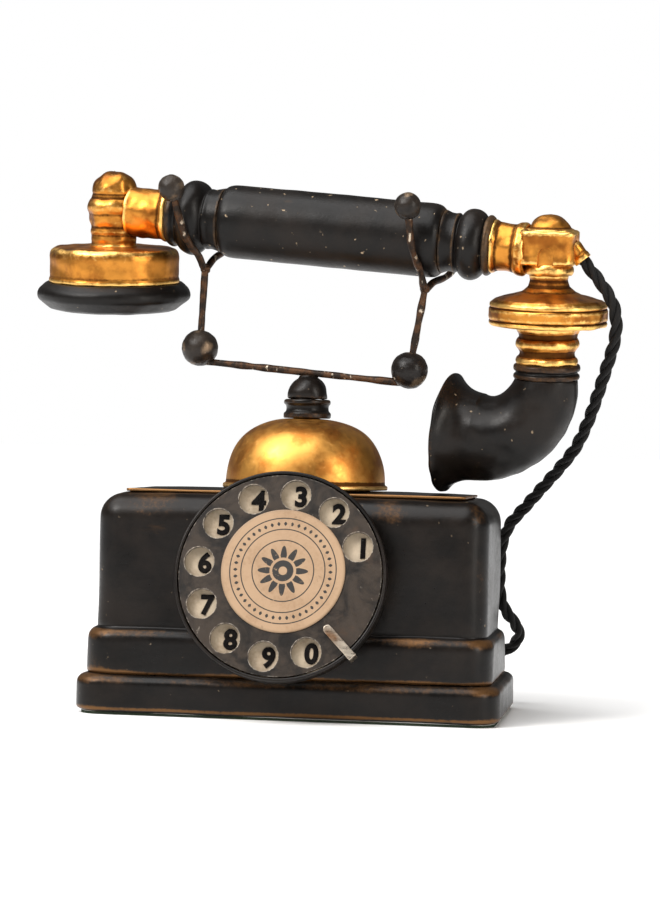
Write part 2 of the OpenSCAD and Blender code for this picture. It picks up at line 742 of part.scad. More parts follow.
// Horn: a bend through horn_sweep, then a short straight that flares to the mouth
horn_rings = 18;
horn_side = 32;
function horn_angle(s) = min(horn_sweep, s * horn_sweep / 0.72);
function horn_run(s) = s <= 0.72 ? 0 : (s - 0.72) / 0.28 * horn_straight;
function horn_radius(s) = horn_neck_r + 5.2 * pow(horn_angle(s) / horn_sweep, 0.9)
    + (mouth_r - horn_neck_r - 5.2) * pow(horn_run(s) / horn_straight, 2.6);
function horn_centre(s) = let (a = horn_angle(s), q = horn_run(s))
    [-horn_bend + horn_bend * cos(a) - q * sin(a), 0, horn_start - horn_bend * sin(a) - q * cos(a)];
function horn_ring(s, inset) = let (a = horn_angle(s), c = horn_centre(s), r = horn_radius(s) - inset)
    [for (k = [0:horn_side - 1]) let (t = 360 * k / horn_side)
        c + r * (cos(t) * [cos(a), 0, -sin(a)] + sin(t) * [0, 1, 0])];
module horn() {
    loops = concat([for (i = [0:horn_rings]) horn_ring(i / horn_rings, 0)],
        [for (i = [horn_rings:-1:0]) horn_ring(i / horn_rings, i == 0 ? 4 : 2)]);
    n = len(loops);
    skin = [for (i = [0:n - 1], k = [0:horn_side - 1]) let (j = (k + 1) % horn_side, m = (i + 1) % n)
        [i * horn_side + k, i * horn_side + j, m * horn_side + j, m * horn_side + k]];
    color(BLACK) in_transmitter() rotate([0, 0, -horn_turn])
        polyhedron(points = [for (ring = loops, p = ring) p], faces = skin);
}

// Gland on the side of the transmitter head, pointing out and down
bush_tip = 7.3;
bush_bore = 6.1;
module in_bush() { in_transmitter() translate([8.6, 0, 2.4]) rotate([0, 140, 0]) children(); }
module cord_bush() {
    color(BRASS) difference() {
        in_bush() rod(3.5, 0, bush_tip);
        in_transmitter() transmitter_block();
        in_bush() rod(cord_d / 2, bush_bore, 10);
    }
}
module handset_cord() { color([0.06, 0.06, 0.06]) swept(curve(cord_route, 2), cord_d / 2, 12); }

base_felt();
base_plate();
base_screws();
plinth();
housing();
lid();
gong();
gong_spacer();
cradle_post();
post_nut();
plunger();
cradle_cap();
cradle_bar();
fork_left();
fork_right();
bar_balls();
fork_balls();
hook_spring();
switch_bracket();
hook_lever();
lever_pin();
switch_contacts();
dial_cup();
cup_rim();
number_plate();
finger_stop();
finger_wheel();
label_disc();
dial_shaft();
dial_gear();
spring_barrel();
dial_frame();
impulse_contacts();
governor_pinion();
ringer_frame();
ringer_coils();
armature();
clapper();
armature_pin();
condenser();
induction_coil();
terminal_block();
terminal_screws();
cord_grommet();
grip();
ferrules();
handle_tube();
sleeves();
receiver_head();
receiver_cup();
ear_cap();
receiver_unit();
transmitter_head();
transmitter_disc();
transmitter_unit();
mouth_tube();
tube_rings();
horn();
cord_bush();
handset_cord();
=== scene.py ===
"""Cradle telephone: the finished pieces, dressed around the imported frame.

Every piece is a surface worked out with numpy in the frame of its own sub-assembly, in millimetres, and
carried to the telephone's frame in metres. The frame is +X right seen from the dial side, +Y back, +Z up, with
its origin at the centre of the underside of the base felt. Each piece rides on the body of its own node.
"""

from __future__ import annotations

import logging
import math
from collections.abc import Sequence
from dataclasses import dataclass, field
from enum import Enum

import bmesh
import bpy
import numpy as np
from mathutils import Euler, Matrix, Vector


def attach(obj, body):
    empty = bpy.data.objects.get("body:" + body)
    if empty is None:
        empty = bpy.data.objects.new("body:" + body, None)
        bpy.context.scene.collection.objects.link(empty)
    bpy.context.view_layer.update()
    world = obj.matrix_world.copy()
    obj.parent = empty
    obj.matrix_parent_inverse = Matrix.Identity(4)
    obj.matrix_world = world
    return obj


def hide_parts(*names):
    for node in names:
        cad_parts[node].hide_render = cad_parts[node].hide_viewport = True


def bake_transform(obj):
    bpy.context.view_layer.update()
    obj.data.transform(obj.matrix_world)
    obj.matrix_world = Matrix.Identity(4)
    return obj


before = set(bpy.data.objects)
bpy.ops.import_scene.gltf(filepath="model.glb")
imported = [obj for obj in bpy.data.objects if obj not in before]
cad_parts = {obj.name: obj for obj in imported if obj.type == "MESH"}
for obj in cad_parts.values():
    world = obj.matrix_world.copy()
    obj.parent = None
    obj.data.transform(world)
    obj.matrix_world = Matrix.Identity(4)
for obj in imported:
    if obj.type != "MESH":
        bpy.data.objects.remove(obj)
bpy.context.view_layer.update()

LOG = logging.getLogger("telephone")
MM = 0.001
WEAR = "wear"
SEED = 20
FULL_TURN = 2 * math.pi

Grid = np.ndarray
Place = np.ndarray
Colour = tuple[float, float, float]
Link = "bpy.types.NodeSocket | float"


# ---------- places ----------


def shift(x: float, y: float, z: float) -> Place:
    """A place moved by x, y, z millimetres."""
    place = np.eye(4)
    place[:3, 3] = (x, y, z)
    return place


def turn(axis: str, degrees: float) -> Place:
    """A place turned about one axis, right-handed."""
    return np.array(Matrix.Rotation(math.radians(degrees), 4, axis.upper()))


def carry(points: Grid, place: Place) -> Grid:
    """Points of a place's own frame, in the frame that holds the place."""
    return points @ place[:3, :3].T + place[:3, 3]


@dataclass(frozen=True)
class Layout:
    """Where the sub-assemblies stand, in millimetres and degrees."""

    bar_height: float = 132.2
    slant: float = 5.0
    twist: float = 6.0
    handle_rise: float = 56.1
    handset_roll: float = 8.0
    head_lean: float = 3.5
    receiver_at: float = -86.4
    transmitter_at: float = 89.9
    horn_turn: float = 7.0
    dial_centre: tuple[float, float, float] = (-1.0, -54.0, 55.2)
    dial_tilt: float = 14.0

    def cradle(self) -> Place:
        """The cradle bar's middle, X along the bar."""
        return shift(0, 0, self.bar_height) @ turn("z", -self.twist) @ turn("y", self.slant)

    def handset(self) -> Place:
        """The handle's axis above the post, X along the handle."""
        return self.cradle() @ shift(0, 0, self.handle_rise) @ turn("x", self.handset_roll)

    def handle(self) -> Place:
        """The handle's axis as a lathe's axis, Z along the handle."""
        return self.handset() @ turn("y", 90)

    def receiver(self) -> Place:
        """The receiver head's axis, Z up."""
        return self.handset() @ shift(self.receiver_at, 0, 0) @ turn("y", -self.head_lean)

    def transmitter(self) -> Place:
        """The transmitter head's axis, Z up."""
        return self.handset() @ shift(self.transmitter_at, 0, 0) @ turn("y", -self.head_lean)

    def horn(self) -> Place:
        """The transmitter's axis, turned so that the horn's mouth faces -X."""
        return self.transmitter() @ turn("z", -self.horn_turn)

    def dial(self) -> Place:
        """The dial's face, Z out of it."""
        x, y, z = self.dial_centre
        return shift(x, y, z) @ turn("x", 90 - self.dial_tilt)


LAYOUT = Layout()
WORLD = np.eye(4)


# ---------- numbers ----------


def ripple(points: Grid, size: float, seed: int, waves: int = 26) -> Grid:
    """Smooth noise of unit spread: the sum of sine waves with random directions and lengths near a size.

    Args:
        points: places, with X, Y, Z in the last axis.
        size: the usual distance between two bumps, in the points' unit.
        seed: what the waves are drawn from.
        waves: how many waves are summed.

    Returns:
        One height for each place.
    """
    draw = np.random.default_rng(seed)
    ways = draw.normal(size=(waves, 3))
    ways /= np.linalg.norm(ways, axis=1, keepdims=True)
    ways *= FULL_TURN / (size * draw.uniform(0.7, 1.8, (waves, 1)))
    phases = draw.uniform(0, FULL_TURN, waves)
    total = np.zeros(points.shape[:-1])
    for way, phase in zip(ways, phases):
        total += np.sin(points @ way + phase)
    return total / math.sqrt(waves / 2)


def blurred(values: Grid, spread: float, closed: bool) -> Grid:
    """Values along the first axis, averaged with a bell-shaped weight; open ends keep their place.

    Args:
        values: rows of numbers.
        spread: the bell's spread, in rows.
        closed: whether the last row meets the first.

    Returns:
        Rows of the same shape.
    """
    if spread < 0.05:
        return values
    reach = max(1, min(int(math.ceil(3 * spread)), len(values) - 1))
    weights = np.exp(-0.5 * (np.arange(-reach, reach + 1) / spread) ** 2)
    weights /= weights.sum()
    if closed:
        padded = np.concatenate([values[-reach:], values, values[:reach]])
    else:
        head = 2 * values[:1] - values[reach:0:-1]
        tail = 2 * values[-1:] - values[-2 : -reach - 2 : -1]
        padded = np.concatenate([head, values, tail])
    return sum(w * padded[i : i + len(values)] for i, w in enumerate(weights))


def along(path: Grid, step: float, closed: bool = False) -> Grid:
    """A line through points, set out again at equal steps of length.

    Args:
        path: the line's points, one a row.
        step: the wanted distance between points.
        closed: whether the line returns to its first point.

    Returns:
        The new points, one a row.
    """
    line = np.concatenate([path, path[:1]]) if closed else path
    lengths = np.concatenate([[0], np.cumsum(np.linalg.norm(np.diff(line, axis=0), axis=1))])
    count = max(8, int(round(lengths[-1] / step)))
    marks = np.linspace(0, lengths[-1], count + (0 if closed else 1), endpoint=not closed)
    return np.stack([np.interp(marks, lengths, line[:, k]) for k in range(line.shape[1])], axis=1)


def smooth_curve(points: Sequence[Sequence[float]], steps: int) -> Grid:
    """The Catmull-Rom curve through points: a cubic a span, sloped at a point along its neighbours' chord.

    Args:
        points: the points to pass through.
        steps: new points a span.

    Returns:
        The curve's points, one a row.
    """
    p = np.array(points, float)
    p = np.concatenate([p[:1], p, p[-1:]])
    t = np.arange(steps)[None, :, None] / steps
    a, b, c, d = (p[k : len(p) - 3 + k, None, :] for k in range(4))
    cubic = 2 * b + (c - a) * t + (2 * a - 5 * b + 4 * c - d) * t**2 + (3 * b - a - 3 * c + d) * t**3
    return np.concatenate([0.5 * cubic.reshape(-1, 3), p[-1:]])


def arc(x: float, y: float, radius: float, start: float, end: float, count: int = 10) -> list[list[float]]:
    """Points of a round stretch in an outline, from one angle to another, in degrees."""
    angles = np.radians(np.linspace(start, end, count))
    return np.stack([x + radius * np.cos(angles), y + radius * np.sin(angles)], axis=1).tolist()


def superellipse(width: float, height: float, power: float, count: int = 40) -> list[list[float]]:
    """Quarter outline from the rim to the crown: (x/width)^power + (y/height)^power = 1."""
    a = np.linspace(0, math.pi / 2, count)
    return np.stack([width * np.cos(a) ** (2 / power), height * np.sin(a) ** (2 / power)], axis=1).tolist()


def turning_wear(outline: Grid, step: float, closed: bool) -> Grid:
    """How proud each point of an outline stands: the angle turned near it, + on edges and - in grooves."""
    ahead = np.roll(outline, -1, axis=0) - outline
    if not closed:
        ahead[-1] = ahead[-2]
    heading = np.unwrap(np.arctan2(ahead[:, 1], ahead[:, 0]))
    bend = np.diff(heading, prepend=heading[:1])
    if closed:
        bend[0] = bend[1]
    near = blurred(bend[:, None], 0.7 / step, False)[:, 0] * (2.4 / step)
    return np.clip(near, -1, 1)


@dataclass(frozen=True)
class Outline:
    """A line in a plane, resampled at equal steps with its corners softened.

    The line runs with the solid on its left, so that edges have positive wear.
    """

    points: Sequence[Sequence[float]]
    step: float = 0.4
    soften: float = 0.35
    closed: bool = False

    def drawn(self) -> tuple[Grid, Grid]:
        """The outline's points, one a row, and the wear at each."""
        line = along(np.array(self.points, float), self.step, self.closed)
        line = blurred(line, self.soften / self.step, self.closed)
        return line, turning_wear(line, self.step, self.closed)


# ---------- surfaces ----------


@dataclass
class Skin:
    """A grid of points, rows by columns, whose columns close on themselves, with the wear at each point."""

    points: Grid
    wear: Grid
    closed_rows: bool = False
    uv: Grid | None = None

    def normals(self) -> Grid:
        """Directions out of the surface: the cross product of the steps along a row and up a column."""
        across = np.roll(self.points, -1, axis=1) - np.roll(self.points, 1, axis=1)
        if self.closed_rows:
            up = np.roll(self.points, -1, axis=0) - np.roll(self.points, 1, axis=0)
        else:
            up = np.gradient(self.points, axis=0)
        out = np.cross(across, up)
        size = np.linalg.norm(out, axis=2, keepdims=True)
        return np.where(size > 1e-9, out / np.maximum(size, 1e-9), 0)

    def beaten(self, depth: float, size: float, seed: int) -> Skin:
        """The surface moved along its normals by smooth noise, as hand work leaves it."""
        out = self.points + self.normals() * (depth * ripple(self.points, size, seed))[..., None]
        if not self.closed_rows:
            out[0], out[-1] = self.points[0], self.points[-1]
        self.points = out
        return self

    def placed(self, place: Place) -> Skin:
        """The surface carried to where its place says."""
        self.points = carry(self.points, place)
        return self


def lathe(outline: Outline, columns: int = 144) -> Skin:
    """Turned surface: the outline's radius and height carried round the Z axis."""
    line, wear = outline.drawn()
    angles = np.arange(columns) * FULL_TURN / columns
    radius, height = np.maximum(line[:, :1], 0), line[:, 1:2]
    points = np.stack([radius * np.cos(angles), radius * np.sin(angles), height + 0 * angles], axis=2)
    return Skin(points, np.repeat(wear[:, None], columns, axis=1), outline.closed)


def ball(radius: float, centre: Sequence[float], columns: int = 64) -> Skin:
    """Sphere as a half circle carried round the Z axis."""
    skin = lathe(Outline(arc(0, 0, radius, -90, 90, 60), radius * 0.05, 0), columns)
    skin.wear[:] = 0.25
    return skin.placed(shift(*centre))


def side_vectors(path: Grid) -> tuple[Grid, Grid]:
    """Two side directions at each point of a path, carried along it without spinning."""
    heading = np.gradient(path, axis=0)
    heading /= np.linalg.norm(heading, axis=1, keepdims=True)
    side = np.cross(heading[0], (0, 0, 1) if abs(heading[0][2]) < 0.8 else (1, 0, 0))
    sides = []
    for way in heading:
        side = side - (side @ way) * way
        side = side / np.linalg.norm(side)
        sides.append(side)
    first = np.array(sides)
    return first, np.cross(heading, first)


def swept(path: Grid, radius: float | Grid, columns: int = 20, wear: float = 0.0) -> Skin:
    """Round tube along a path, with both ends closed by their own centres."""
    first, second = side_vectors(path)
    angles = np.arange(columns) * FULL_TURN / columns
    girth = np.broadcast_to(radius, len(path))[:, None, None]
    ring = (np.cos(angles)[None, :, None] * first[:, None, :]
            + np.sin(angles)[None, :, None] * second[:, None, :])
    points = path[:, None, :] + girth * ring
    ends = [np.repeat(path[i][None, None, :], columns, axis=1) for i in (0, -1)]
    points = np.concatenate([ends[0], points, ends[1]])
    return Skin(points, np.full(points.shape[:2], wear))


@dataclass(frozen=True)
class Plan:
    """How points go round a rectangle with round corners: each column has a corner sign and a direction."""

    corner_steps: int = 12
    long_steps: int = 70
    short_steps: int = 34

    def columns(self) -> Grid:
        """Rows of X sign, Y sign, X direction, Y direction and how far the column is into a corner."""
        rows = []
        signs = [(1, 1), (-1, 1), (-1, -1), (1, -1)]
        for k, (sx, sy) in enumerate(signs):
            a = np.radians(90 * k + 90 * np.arange(self.corner_steps) / self.corner_steps)
            bend = np.sin(2 * (a - math.radians(90 * k)))
            one = np.ones(len(a))
            rows.append(np.stack([sx * one, sy * one, np.cos(a), np.sin(a), bend], axis=1))
            count = self.long_steps if k % 2 == 0 else self.short_steps
            t = np.arange(count)[:, None] / count
            start = np.array([sx, sy, math.cos(math.radians(90 * k + 90)),
                              math.sin(math.radians(90 * k + 90)), 0.0])
            after = signs[(k + 1) % 4]
            stop = np.array([after[0], after[1], start[2], start[3], 0.0])
            rows.append(start + (stop - start) * t)
        return np.concatenate(rows)

    def skin(self, rows: Outline, closed: bool) -> Skin:
        """Rows of half width, height, half depth and corner radius carried round the rectangle."""
        line = along(np.array(rows.points, float), rows.step, closed)
        line = blurred(line, rows.soften / rows.step, closed)
        wear = turning_wear(line[:, :2], rows.step, closed)
        half_w, height, half_d = (line[:, k : k + 1] for k in range(3))
        corner = np.maximum(line[:, 3:4], 0)
        sx, sy, dx, dy, bend = self.columns().T
        points = np.stack([sx * (half_w - corner) + corner * dx, sy * (half_d - corner) + corner * dy,
                           height + 0 * sx], 2)
        return Skin(points, np.clip(wear[:, None] + 0.22 * bend, -1, 1), closed)


def solid(name: str, skins: Skin | Sequence[Skin], uv: bool = False) -> bpy.types.Object:
    """A piece made of closed surfaces: quads between rows and columns, with poles and seams merged.

    Args:
        name: the piece's name.
        skins: the surfaces, in millimetres in the telephone's frame.
        uv: whether the piece gets its rows and columns as a UV map.

    Returns:
        The new object, at the origin, with its place in its mesh.
    """
    parts = [skins] if isinstance(skins, Skin) else list(skins)
    points, wear, quads, corners, start = [], [], [], [], 0
    for skin in parts:
        rows, columns = skin.points.shape[:2]
        r = np.arange(rows if skin.closed_rows else rows - 1)[:, None]
        c = np.arange(columns)[None, :]
        low, high = r * columns, ((r + 1) % rows) * columns
        near, far = c + 0 * r, (c + 1) % columns + 0 * r
        square = np.stack([low + near, low + far, high + far, high + near], axis=2)
        quads.append(start + square.reshape(-1, 4))
        if uv:
            u, v = r / (rows - 1) + 0 * c, c / columns + 0 * r
            du, dv = 1 / (rows - 1), 1 / columns
            corners.append(np.stack([u, v, u, v + dv, u + du, v + dv, u + du, v], axis=2).reshape(-1, 8))
        points.append(skin.points.reshape(-1, 3))
        wear.append(skin.wear.reshape(-1))
        start += rows * columns
    return mesh_piece(name, np.concatenate(points), np.concatenate(quads), np.concatenate(wear),
                      np.concatenate(corners) if uv else None)


def mesh_piece(name: str, points: Grid, quads: Grid, wear: Grid,
               corners: Grid | None = None) -> bpy.types.Object:
    """Writes points and quads into a mesh, merges poles and seams, and turns every shell's faces outwards."""
    mesh = bpy.data.meshes.new(name)
    mesh.vertices.add(len(points))
    mesh.vertices.foreach_set("co", (points * MM).astype(np.float32).ravel())
    mesh.loops.add(quads.size)
    mesh.loops.foreach_set("vertex_index", quads.astype(np.int32).ravel())
    mesh.polygons.add(len(quads))
    mesh.polygons.foreach_set("loop_start", np.arange(0, quads.size, 4, dtype=np.int32))
    mesh.update(calc_edges=True)
    mesh.attributes.new(WEAR, "FLOAT", "POINT").data.foreach_set("value", wear.astype(np.float32))
    if corners is not None:
        mesh.uv_layers.new(name="UVMap").data.foreach_set("uv", corners.astype(np.float32).ravel())
    shell = bmesh.new()
    shell.from_mesh(mesh)
    bmesh.ops.remove_doubles(shell, verts=shell.verts, dist=4e-7)
    if shell.calc_volume(signed=True) < 0:
        bmesh.ops.reverse_faces(shell, faces=shell.faces)
    shell.to_mesh(mesh)
    shell.free()
    mesh.shade_smooth()
    piece = bpy.data.objects.new(name, mesh)
    bpy.context.scene.collection.objects.link(piece)
    return piece


def prism(name: str, outline: Grid, low: float, high: float, place: Place) -> bpy.types.Object:
    """Straight block over a flat outline that runs counter-clockwise, with one face for each end."""
    count = len(outline)
    rings = [np.column_stack([outline, np.full(count, z)]) for z in (low, high)]
    points = carry(np.concatenate(rings), place) * MM
    k = np.arange(count)
    walls = np.stack([k, (k + 1) % count, (k + 1) % count + count, k + count], axis=1).tolist()
    mesh = bpy.data.meshes.new(name)
    mesh.from_pydata(points.tolist(), [], [*walls, k[::-1].tolist(), (k + count).tolist()])
    piece = bpy.data.objects.new(name, mesh)
    bpy.context.scene.collection.objects.link(piece)
    return piece


def circle(radius: float, count: int, centre: Sequence[float] = (0.0, 0.0)) -> Grid:
    """Points round a circle, counter-clockwise."""
    a = np.arange(count) * FULL_TURN / count
    return np.stack([centre[0] + radius * np.cos(a), centre[1] + radius * np.sin(a)], axis=1)


def cut(piece: bpy.types.Object, *cutters: bpy.types.Object) -> bpy.types.Object:
    """Takes the cutters' shapes out of a piece and removes the cutters."""
    for cutter in cutters:
        tool = piece.modifiers.new("cut", "BOOLEAN")
        tool.object = cutter
        tool.operation = "DIFFERENCE"
        tool.solver = "EXACT"
    done = piece.evaluated_get(bpy.context.evaluated_depsgraph_get())
    mesh = bpy.data.meshes.new_from_object(done)
    piece.modifiers.clear()
    piece.data = mesh
    for cutter in cutters:
        bpy.data.objects.remove(cutter)
    return piece


def bevelled(piece: bpy.types.Object, width: float, segments: int = 3) -> bpy.types.Object:
    """Rounds a piece's sharp edges by a width in millimetres."""
    rounding = piece.modifiers.new("rounding", "BEVEL")
    rounding.width = width * MM
    rounding.segments = segments
    rounding.limit_method = "ANGLE"
    rounding.angle_limit = math.radians(35)
    rounding.harden_normals = False
    piece.data.shade_smooth()
    piece.data.set_sharp_from_angle(angle=math.radians(50))
    return piece


def fit(piece: bpy.types.Object, look: bpy.types.Material, body: str, slot: str,
        *nodes: str) -> bpy.types.Object:
    """Dresses a piece, sets it on its body and hides the nodes that it stands for."""
    piece.data.materials.clear()
    piece.data.materials.append(look)
    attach(piece, body)
    if nodes:
        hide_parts(*nodes)
    LOG.info("%s: %d faces on %s", piece.name, len(piece.data.polygons), body)
    return piece


# ---------- finishes ----------


class Graph:
    """Adds nodes to one material and wires them."""

    def __init__(self, name: str) -> None:
        """Makes an empty material with its output and its surface shader."""
        self.material = bpy.data.materials.new(name)
        self.material.use_nodes = True
        self.tree = self.material.node_tree
        self.tree.nodes.clear()
        self.output = self.tree.nodes.new("ShaderNodeOutputMaterial")
        self.surface = self.tree.nodes.new("ShaderNodeBsdfPrincipled")
        self.tree.links.new(self.surface.outputs[0], self.output.inputs["Surface"])
        self.coords = self.tree.nodes.new("ShaderNodeTexCoord").outputs["Object"]

    def put(self, socket: bpy.types.NodeSocket, value: object) -> None:
        """Wires a socket to another, or gives it a number or colour."""
        if isinstance(value, bpy.types.NodeSocket):
            self.tree.links.new(value, socket)
        elif isinstance(value, tuple) and len(value) == 3 and socket.type == "RGBA":
            socket.default_value = (*value, 1.0)
        else:
            socket.default_value = value

    def add(self, kind: str, inputs: dict[str | int, object], **settings: object) -> bpy.types.Node:
        """Adds one node, with its settings and its inputs."""
        node = self.tree.nodes.new("ShaderNode" + kind)
        for key, value in settings.items():
            setattr(node, key, value)
        for key, value in inputs.items():
            self.put(node.inputs[key], value)
        return node

    def calc(self, operation: str, a: Link, b: Link = 0.0, clamp: bool = False) -> Link:
        """One sum of two numbers."""
        return self.add("Math", {0: a, 1: b}, operation=operation, use_clamp=clamp).outputs[0]

    def worn(self) -> Link:
        """The piece's own wear, + on edges and - in grooves."""
        return self.add("Attribute", {}, attribute_name=WEAR).outputs["Fac"]

    def moved(self, scale: tuple[float, float, float], turned: Place | None = None) -> Link:
        """Coordinates stretched by a scale, after they are taken into a place's own frame."""
        where = self.coords
        if turned is not None:
            matrix = Matrix(turned.tolist())
            where = self.add("Mapping", {"Vector": where, "Location": tuple(matrix.translation * MM),
                                         "Rotation": tuple(matrix.to_euler()), "Scale": (1.0, 1.0, 1.0)},
                             vector_type="TEXTURE").outputs[0]
        return self.add("Mapping", {"Vector": where, "Scale": scale}).outputs[0]

    def noise(self, size: float, detail: float = 4.0, seed: float = 0.0, where: Link = None,
              roughness: float = 0.55, distortion: float = 0.0) -> Link:
        """Noise from 0 to 1 whose bumps are about a size apart, in millimetres."""
        return self.add("TexNoise", {"Vector": self.coords if where is None else where,
                                     "Scale": 1 / (size * MM),
                                     "Detail": detail, "Roughness": roughness, "W": seed,
                                     "Distortion": distortion},
                        noise_dimensions="4D").outputs["Fac"]

    def cells(self, size: float, where: Link = None, smooth: float = 0.4) -> Link:
        """Distance to the nearest of scattered points about a size apart, in millimetres."""
        return self.add("TexVoronoi", {"Vector": self.coords if where is None else where,
                                       "Scale": 1 / (size * MM),
                                       "Smoothness": smooth}, feature="SMOOTH_F1").outputs["Distance"]

    def band(self, value: Link, low: float, high: float) -> Link:
        """0 below low, 1 above high and smooth between them; the other way round where low is over high."""
        ends = {"From Min": low, "From Max": high} if low < high else \
            {"From Min": high, "From Max": low, "To Min": 1.0, "To Max": 0.0}
        return self.add("MapRange", {"Value": value, **ends}, interpolation_type="SMOOTHSTEP").outputs[0]

    def mix(self, share: Link, a: object, b: object) -> Link:
        """Colour a where share is 0, and b where it is 1."""
        node = self.add("Mix", {"Factor": share}, data_type="RGBA")
        self.put(node.inputs[6], a)
        self.put(node.inputs[7], b)
        return node.outputs[2]

    def bump(self, height: Link, depth: float, before: Link = None, strength: float = 1.0) -> Link:
        """Normals tilted by a height from 0 to 1 that stands for a depth in millimetres."""
        inputs = {"Height": height, "Distance": depth * MM, "Strength": strength}
        if before is not None:
            inputs["Normal"] = before
        return self.add("Bump", inputs).outputs[0]

    def finish(self, **sockets: object) -> bpy.types.Material:
        """Gives the surface shader its sockets, with spaces written as underscores."""
        for key, value in sockets.items():
            self.put(self.surface.inputs[key.replace("_", " ")], value)
        return self.material


@dataclass(frozen=True)
class AgedPaint:
    """Dark satin paint over a cast body, rubbed with bronze on its edges, with painted shade darkening its
    hollows.
    """

    name: str
    deep: Colour = (0.0030, 0.0022, 0.0018)
    light: Colour = (0.0100, 0.0068, 0.0050)
    rub: Colour = (0.17, 0.082, 0.030)
    rub_share: float = 0.5
    streaks: float = 0.5
    specks: float = 0.5
    speck_colour: Colour = (0.34, 0.25, 0.16)
    gloss: float = 0.34
    grain: float = 0.05
    shine: float = 0.22
    along: Place | None = None

    def build(self) -> bpy.types.Material:
        """Mottled base, bronze by wear and noise, thin streaks, pale specks, painted shade in grooves, brush
        bumps.
        """
        g = Graph(self.name)
        wear = g.worn()
        patches = g.noise(17, 6, SEED)
        fine = g.noise(1.6, 5, SEED + 1, roughness=0.65)
        brushed = g.noise(7, 6, SEED + 2, g.moved((0.22, 1, 1), self.along), 0.62)
        base = g.mix(g.band(patches, 0.38, 0.66), self.deep, self.light)
        ragged = g.calc("ADD", g.calc("MULTIPLY", patches, 0.7), g.calc("MULTIPLY", fine, 0.55))
        proud = g.calc("ADD", g.calc("MULTIPLY", wear, 0.95 * self.rub_share),
                       g.calc("MULTIPLY", ragged, 0.62))
        edge = g.band(proud, 0.60, 0.86)
        smear = g.calc("MULTIPLY", g.band(brushed, 0.66, 0.80), self.streaks * 0.45)
        rubbed = g.calc("MAXIMUM", g.calc("MULTIPLY", edge, 0.85), smear)
        coat = g.mix(rubbed, base, self.rub)
        chips = g.band(g.noise(2.3, 2, SEED + 3, roughness=0.4), 0.735 - 0.05 * self.specks,
                       0.80 - 0.05 * self.specks)
        coat = g.mix(g.calc("MULTIPLY", chips, self.specks), coat, self.speck_colour)
        # painted shade: grooves (negative wear) are darkened to near-black, standing in for the shade that
        # falls in them
        painted_groove_shade = g.calc("MULTIPLY", g.band(wear, -0.05, -0.45), 0.8)
        coat = g.mix(painted_groove_shade, coat, (0.004, 0.003, 0.0024))
        rough = g.calc("ADD", self.gloss, g.calc("MULTIPLY", g.calc("SUBTRACT", fine, 0.5), 0.32), True)
        rough = g.calc("ADD", rough, g.calc("MULTIPLY", g.calc("SUBTRACT", patches, 0.5), 0.25), True)
        normal = g.bump(brushed, 0.10)
        normal = g.bump(fine, self.grain, normal)
        normal = g.bump(chips, -0.08, normal, 0.8)
        return g.finish(Base_Color=coat, Roughness=rough, Metallic=g.calc("MULTIPLY", rubbed, 0.75),
                        Normal=normal,
                        Specular_IOR_Level=self.shine)


@dataclass(frozen=True)
class GoldLeaf:
    """Antique gold leaf on a hand-beaten surface: brown in the grooves, pale where it is burnished."""

    name: str
    shade: Colour = (0.26, 0.085, 0.014)
    body: Colour = (0.60, 0.245, 0.040)
    bright: Colour = (0.95, 0.58, 0.17)
    groove: Colour = (0.045, 0.014, 0.004)
    rough: float = 0.33
    dents: float = 0.22
    dent_size: float = 5.0

    def build(self) -> bpy.types.Material:
        """Three golds by noise and wear, brown glaze in grooves, dents and fine leaf wrinkles as bumps."""
        g = Graph(self.name)
        wear = g.worn()
        cloud = g.noise(9, 5, SEED + 5)
        leaf = g.noise(2.2, 6, SEED + 6, roughness=0.62, distortion=0.6)
        gold = g.mix(g.band(cloud, 0.34, 0.60), self.shade, self.body)
        burnish = g.calc("ADD", g.calc("MULTIPLY", leaf, 0.8), g.calc("MULTIPLY", wear, 0.35))
        gold = g.mix(g.band(burnish, 0.50, 0.80), gold, self.bright)
        glaze = g.calc("ADD", g.calc("MULTIPLY", wear, -1.1), g.calc("MULTIPLY",
                                                                     g.calc("SUBTRACT", leaf, 0.5), 0.7))
        glazed = g.calc("MULTIPLY", g.band(glaze, 0.18, 0.62), 0.9)
        gold = g.mix(glazed, gold, self.groove)
        spots = g.band(g.noise(3.1, 3, SEED + 7), 0.70, 0.78)
        gold = g.mix(g.calc("MULTIPLY", spots, 0.55), gold, self.groove)
        rough = g.calc("ADD", self.rough, g.calc("MULTIPLY", g.calc("SUBTRACT", leaf, 0.4), 0.42), True)
        rough = g.calc("ADD", rough, g.calc("MULTIPLY", glazed, 0.25), True)
        normal = g.bump(g.cells(self.dent_size), self.dents)
        normal = g.bump(leaf, 0.055, normal)
        return g.finish(Base_Color=gold, Metallic=1.0, Roughness=rough, Normal=normal)


@dataclass(frozen=True)
class OldWire:
    """Dark iron wire with rust and bare bright flecks."""

    name: str
    dark: Colour = (0.020, 0.013, 0.009)
    rust: Colour = (0.085, 0.040, 0.018)
    bare: Colour = (0.62, 0.52, 0.40)
    flecks: float = 0.8

    def build(self) -> bpy.types.Material:
        """Dark iron and rust by noise, with bright flecks on a rough skin."""
        g = Graph(self.name)
        rust = g.noise(4, 5, SEED + 8)
        fleck = g.band(g.noise(2.6, 3, SEED + 9, g.moved((1, 1, 0.45))), 0.61, 0.68)
        colour = g.mix(g.band(rust, 0.42, 0.62), self.dark, self.rust)
        bare = g.calc("MULTIPLY", fleck, self.flecks)
        colour = g.mix(bare, colour, self.bare)
        rough = g.calc("SUBTRACT", 0.52, g.calc("MULTIPLY", bare, 0.22))
        normal = g.bump(g.noise(0.8, 4, SEED + 10), 0.10)
        return g.finish(Base_Color=colour, Metallic=0.7, Roughness=rough, Normal=g.bump(rust, 0.12, normal))


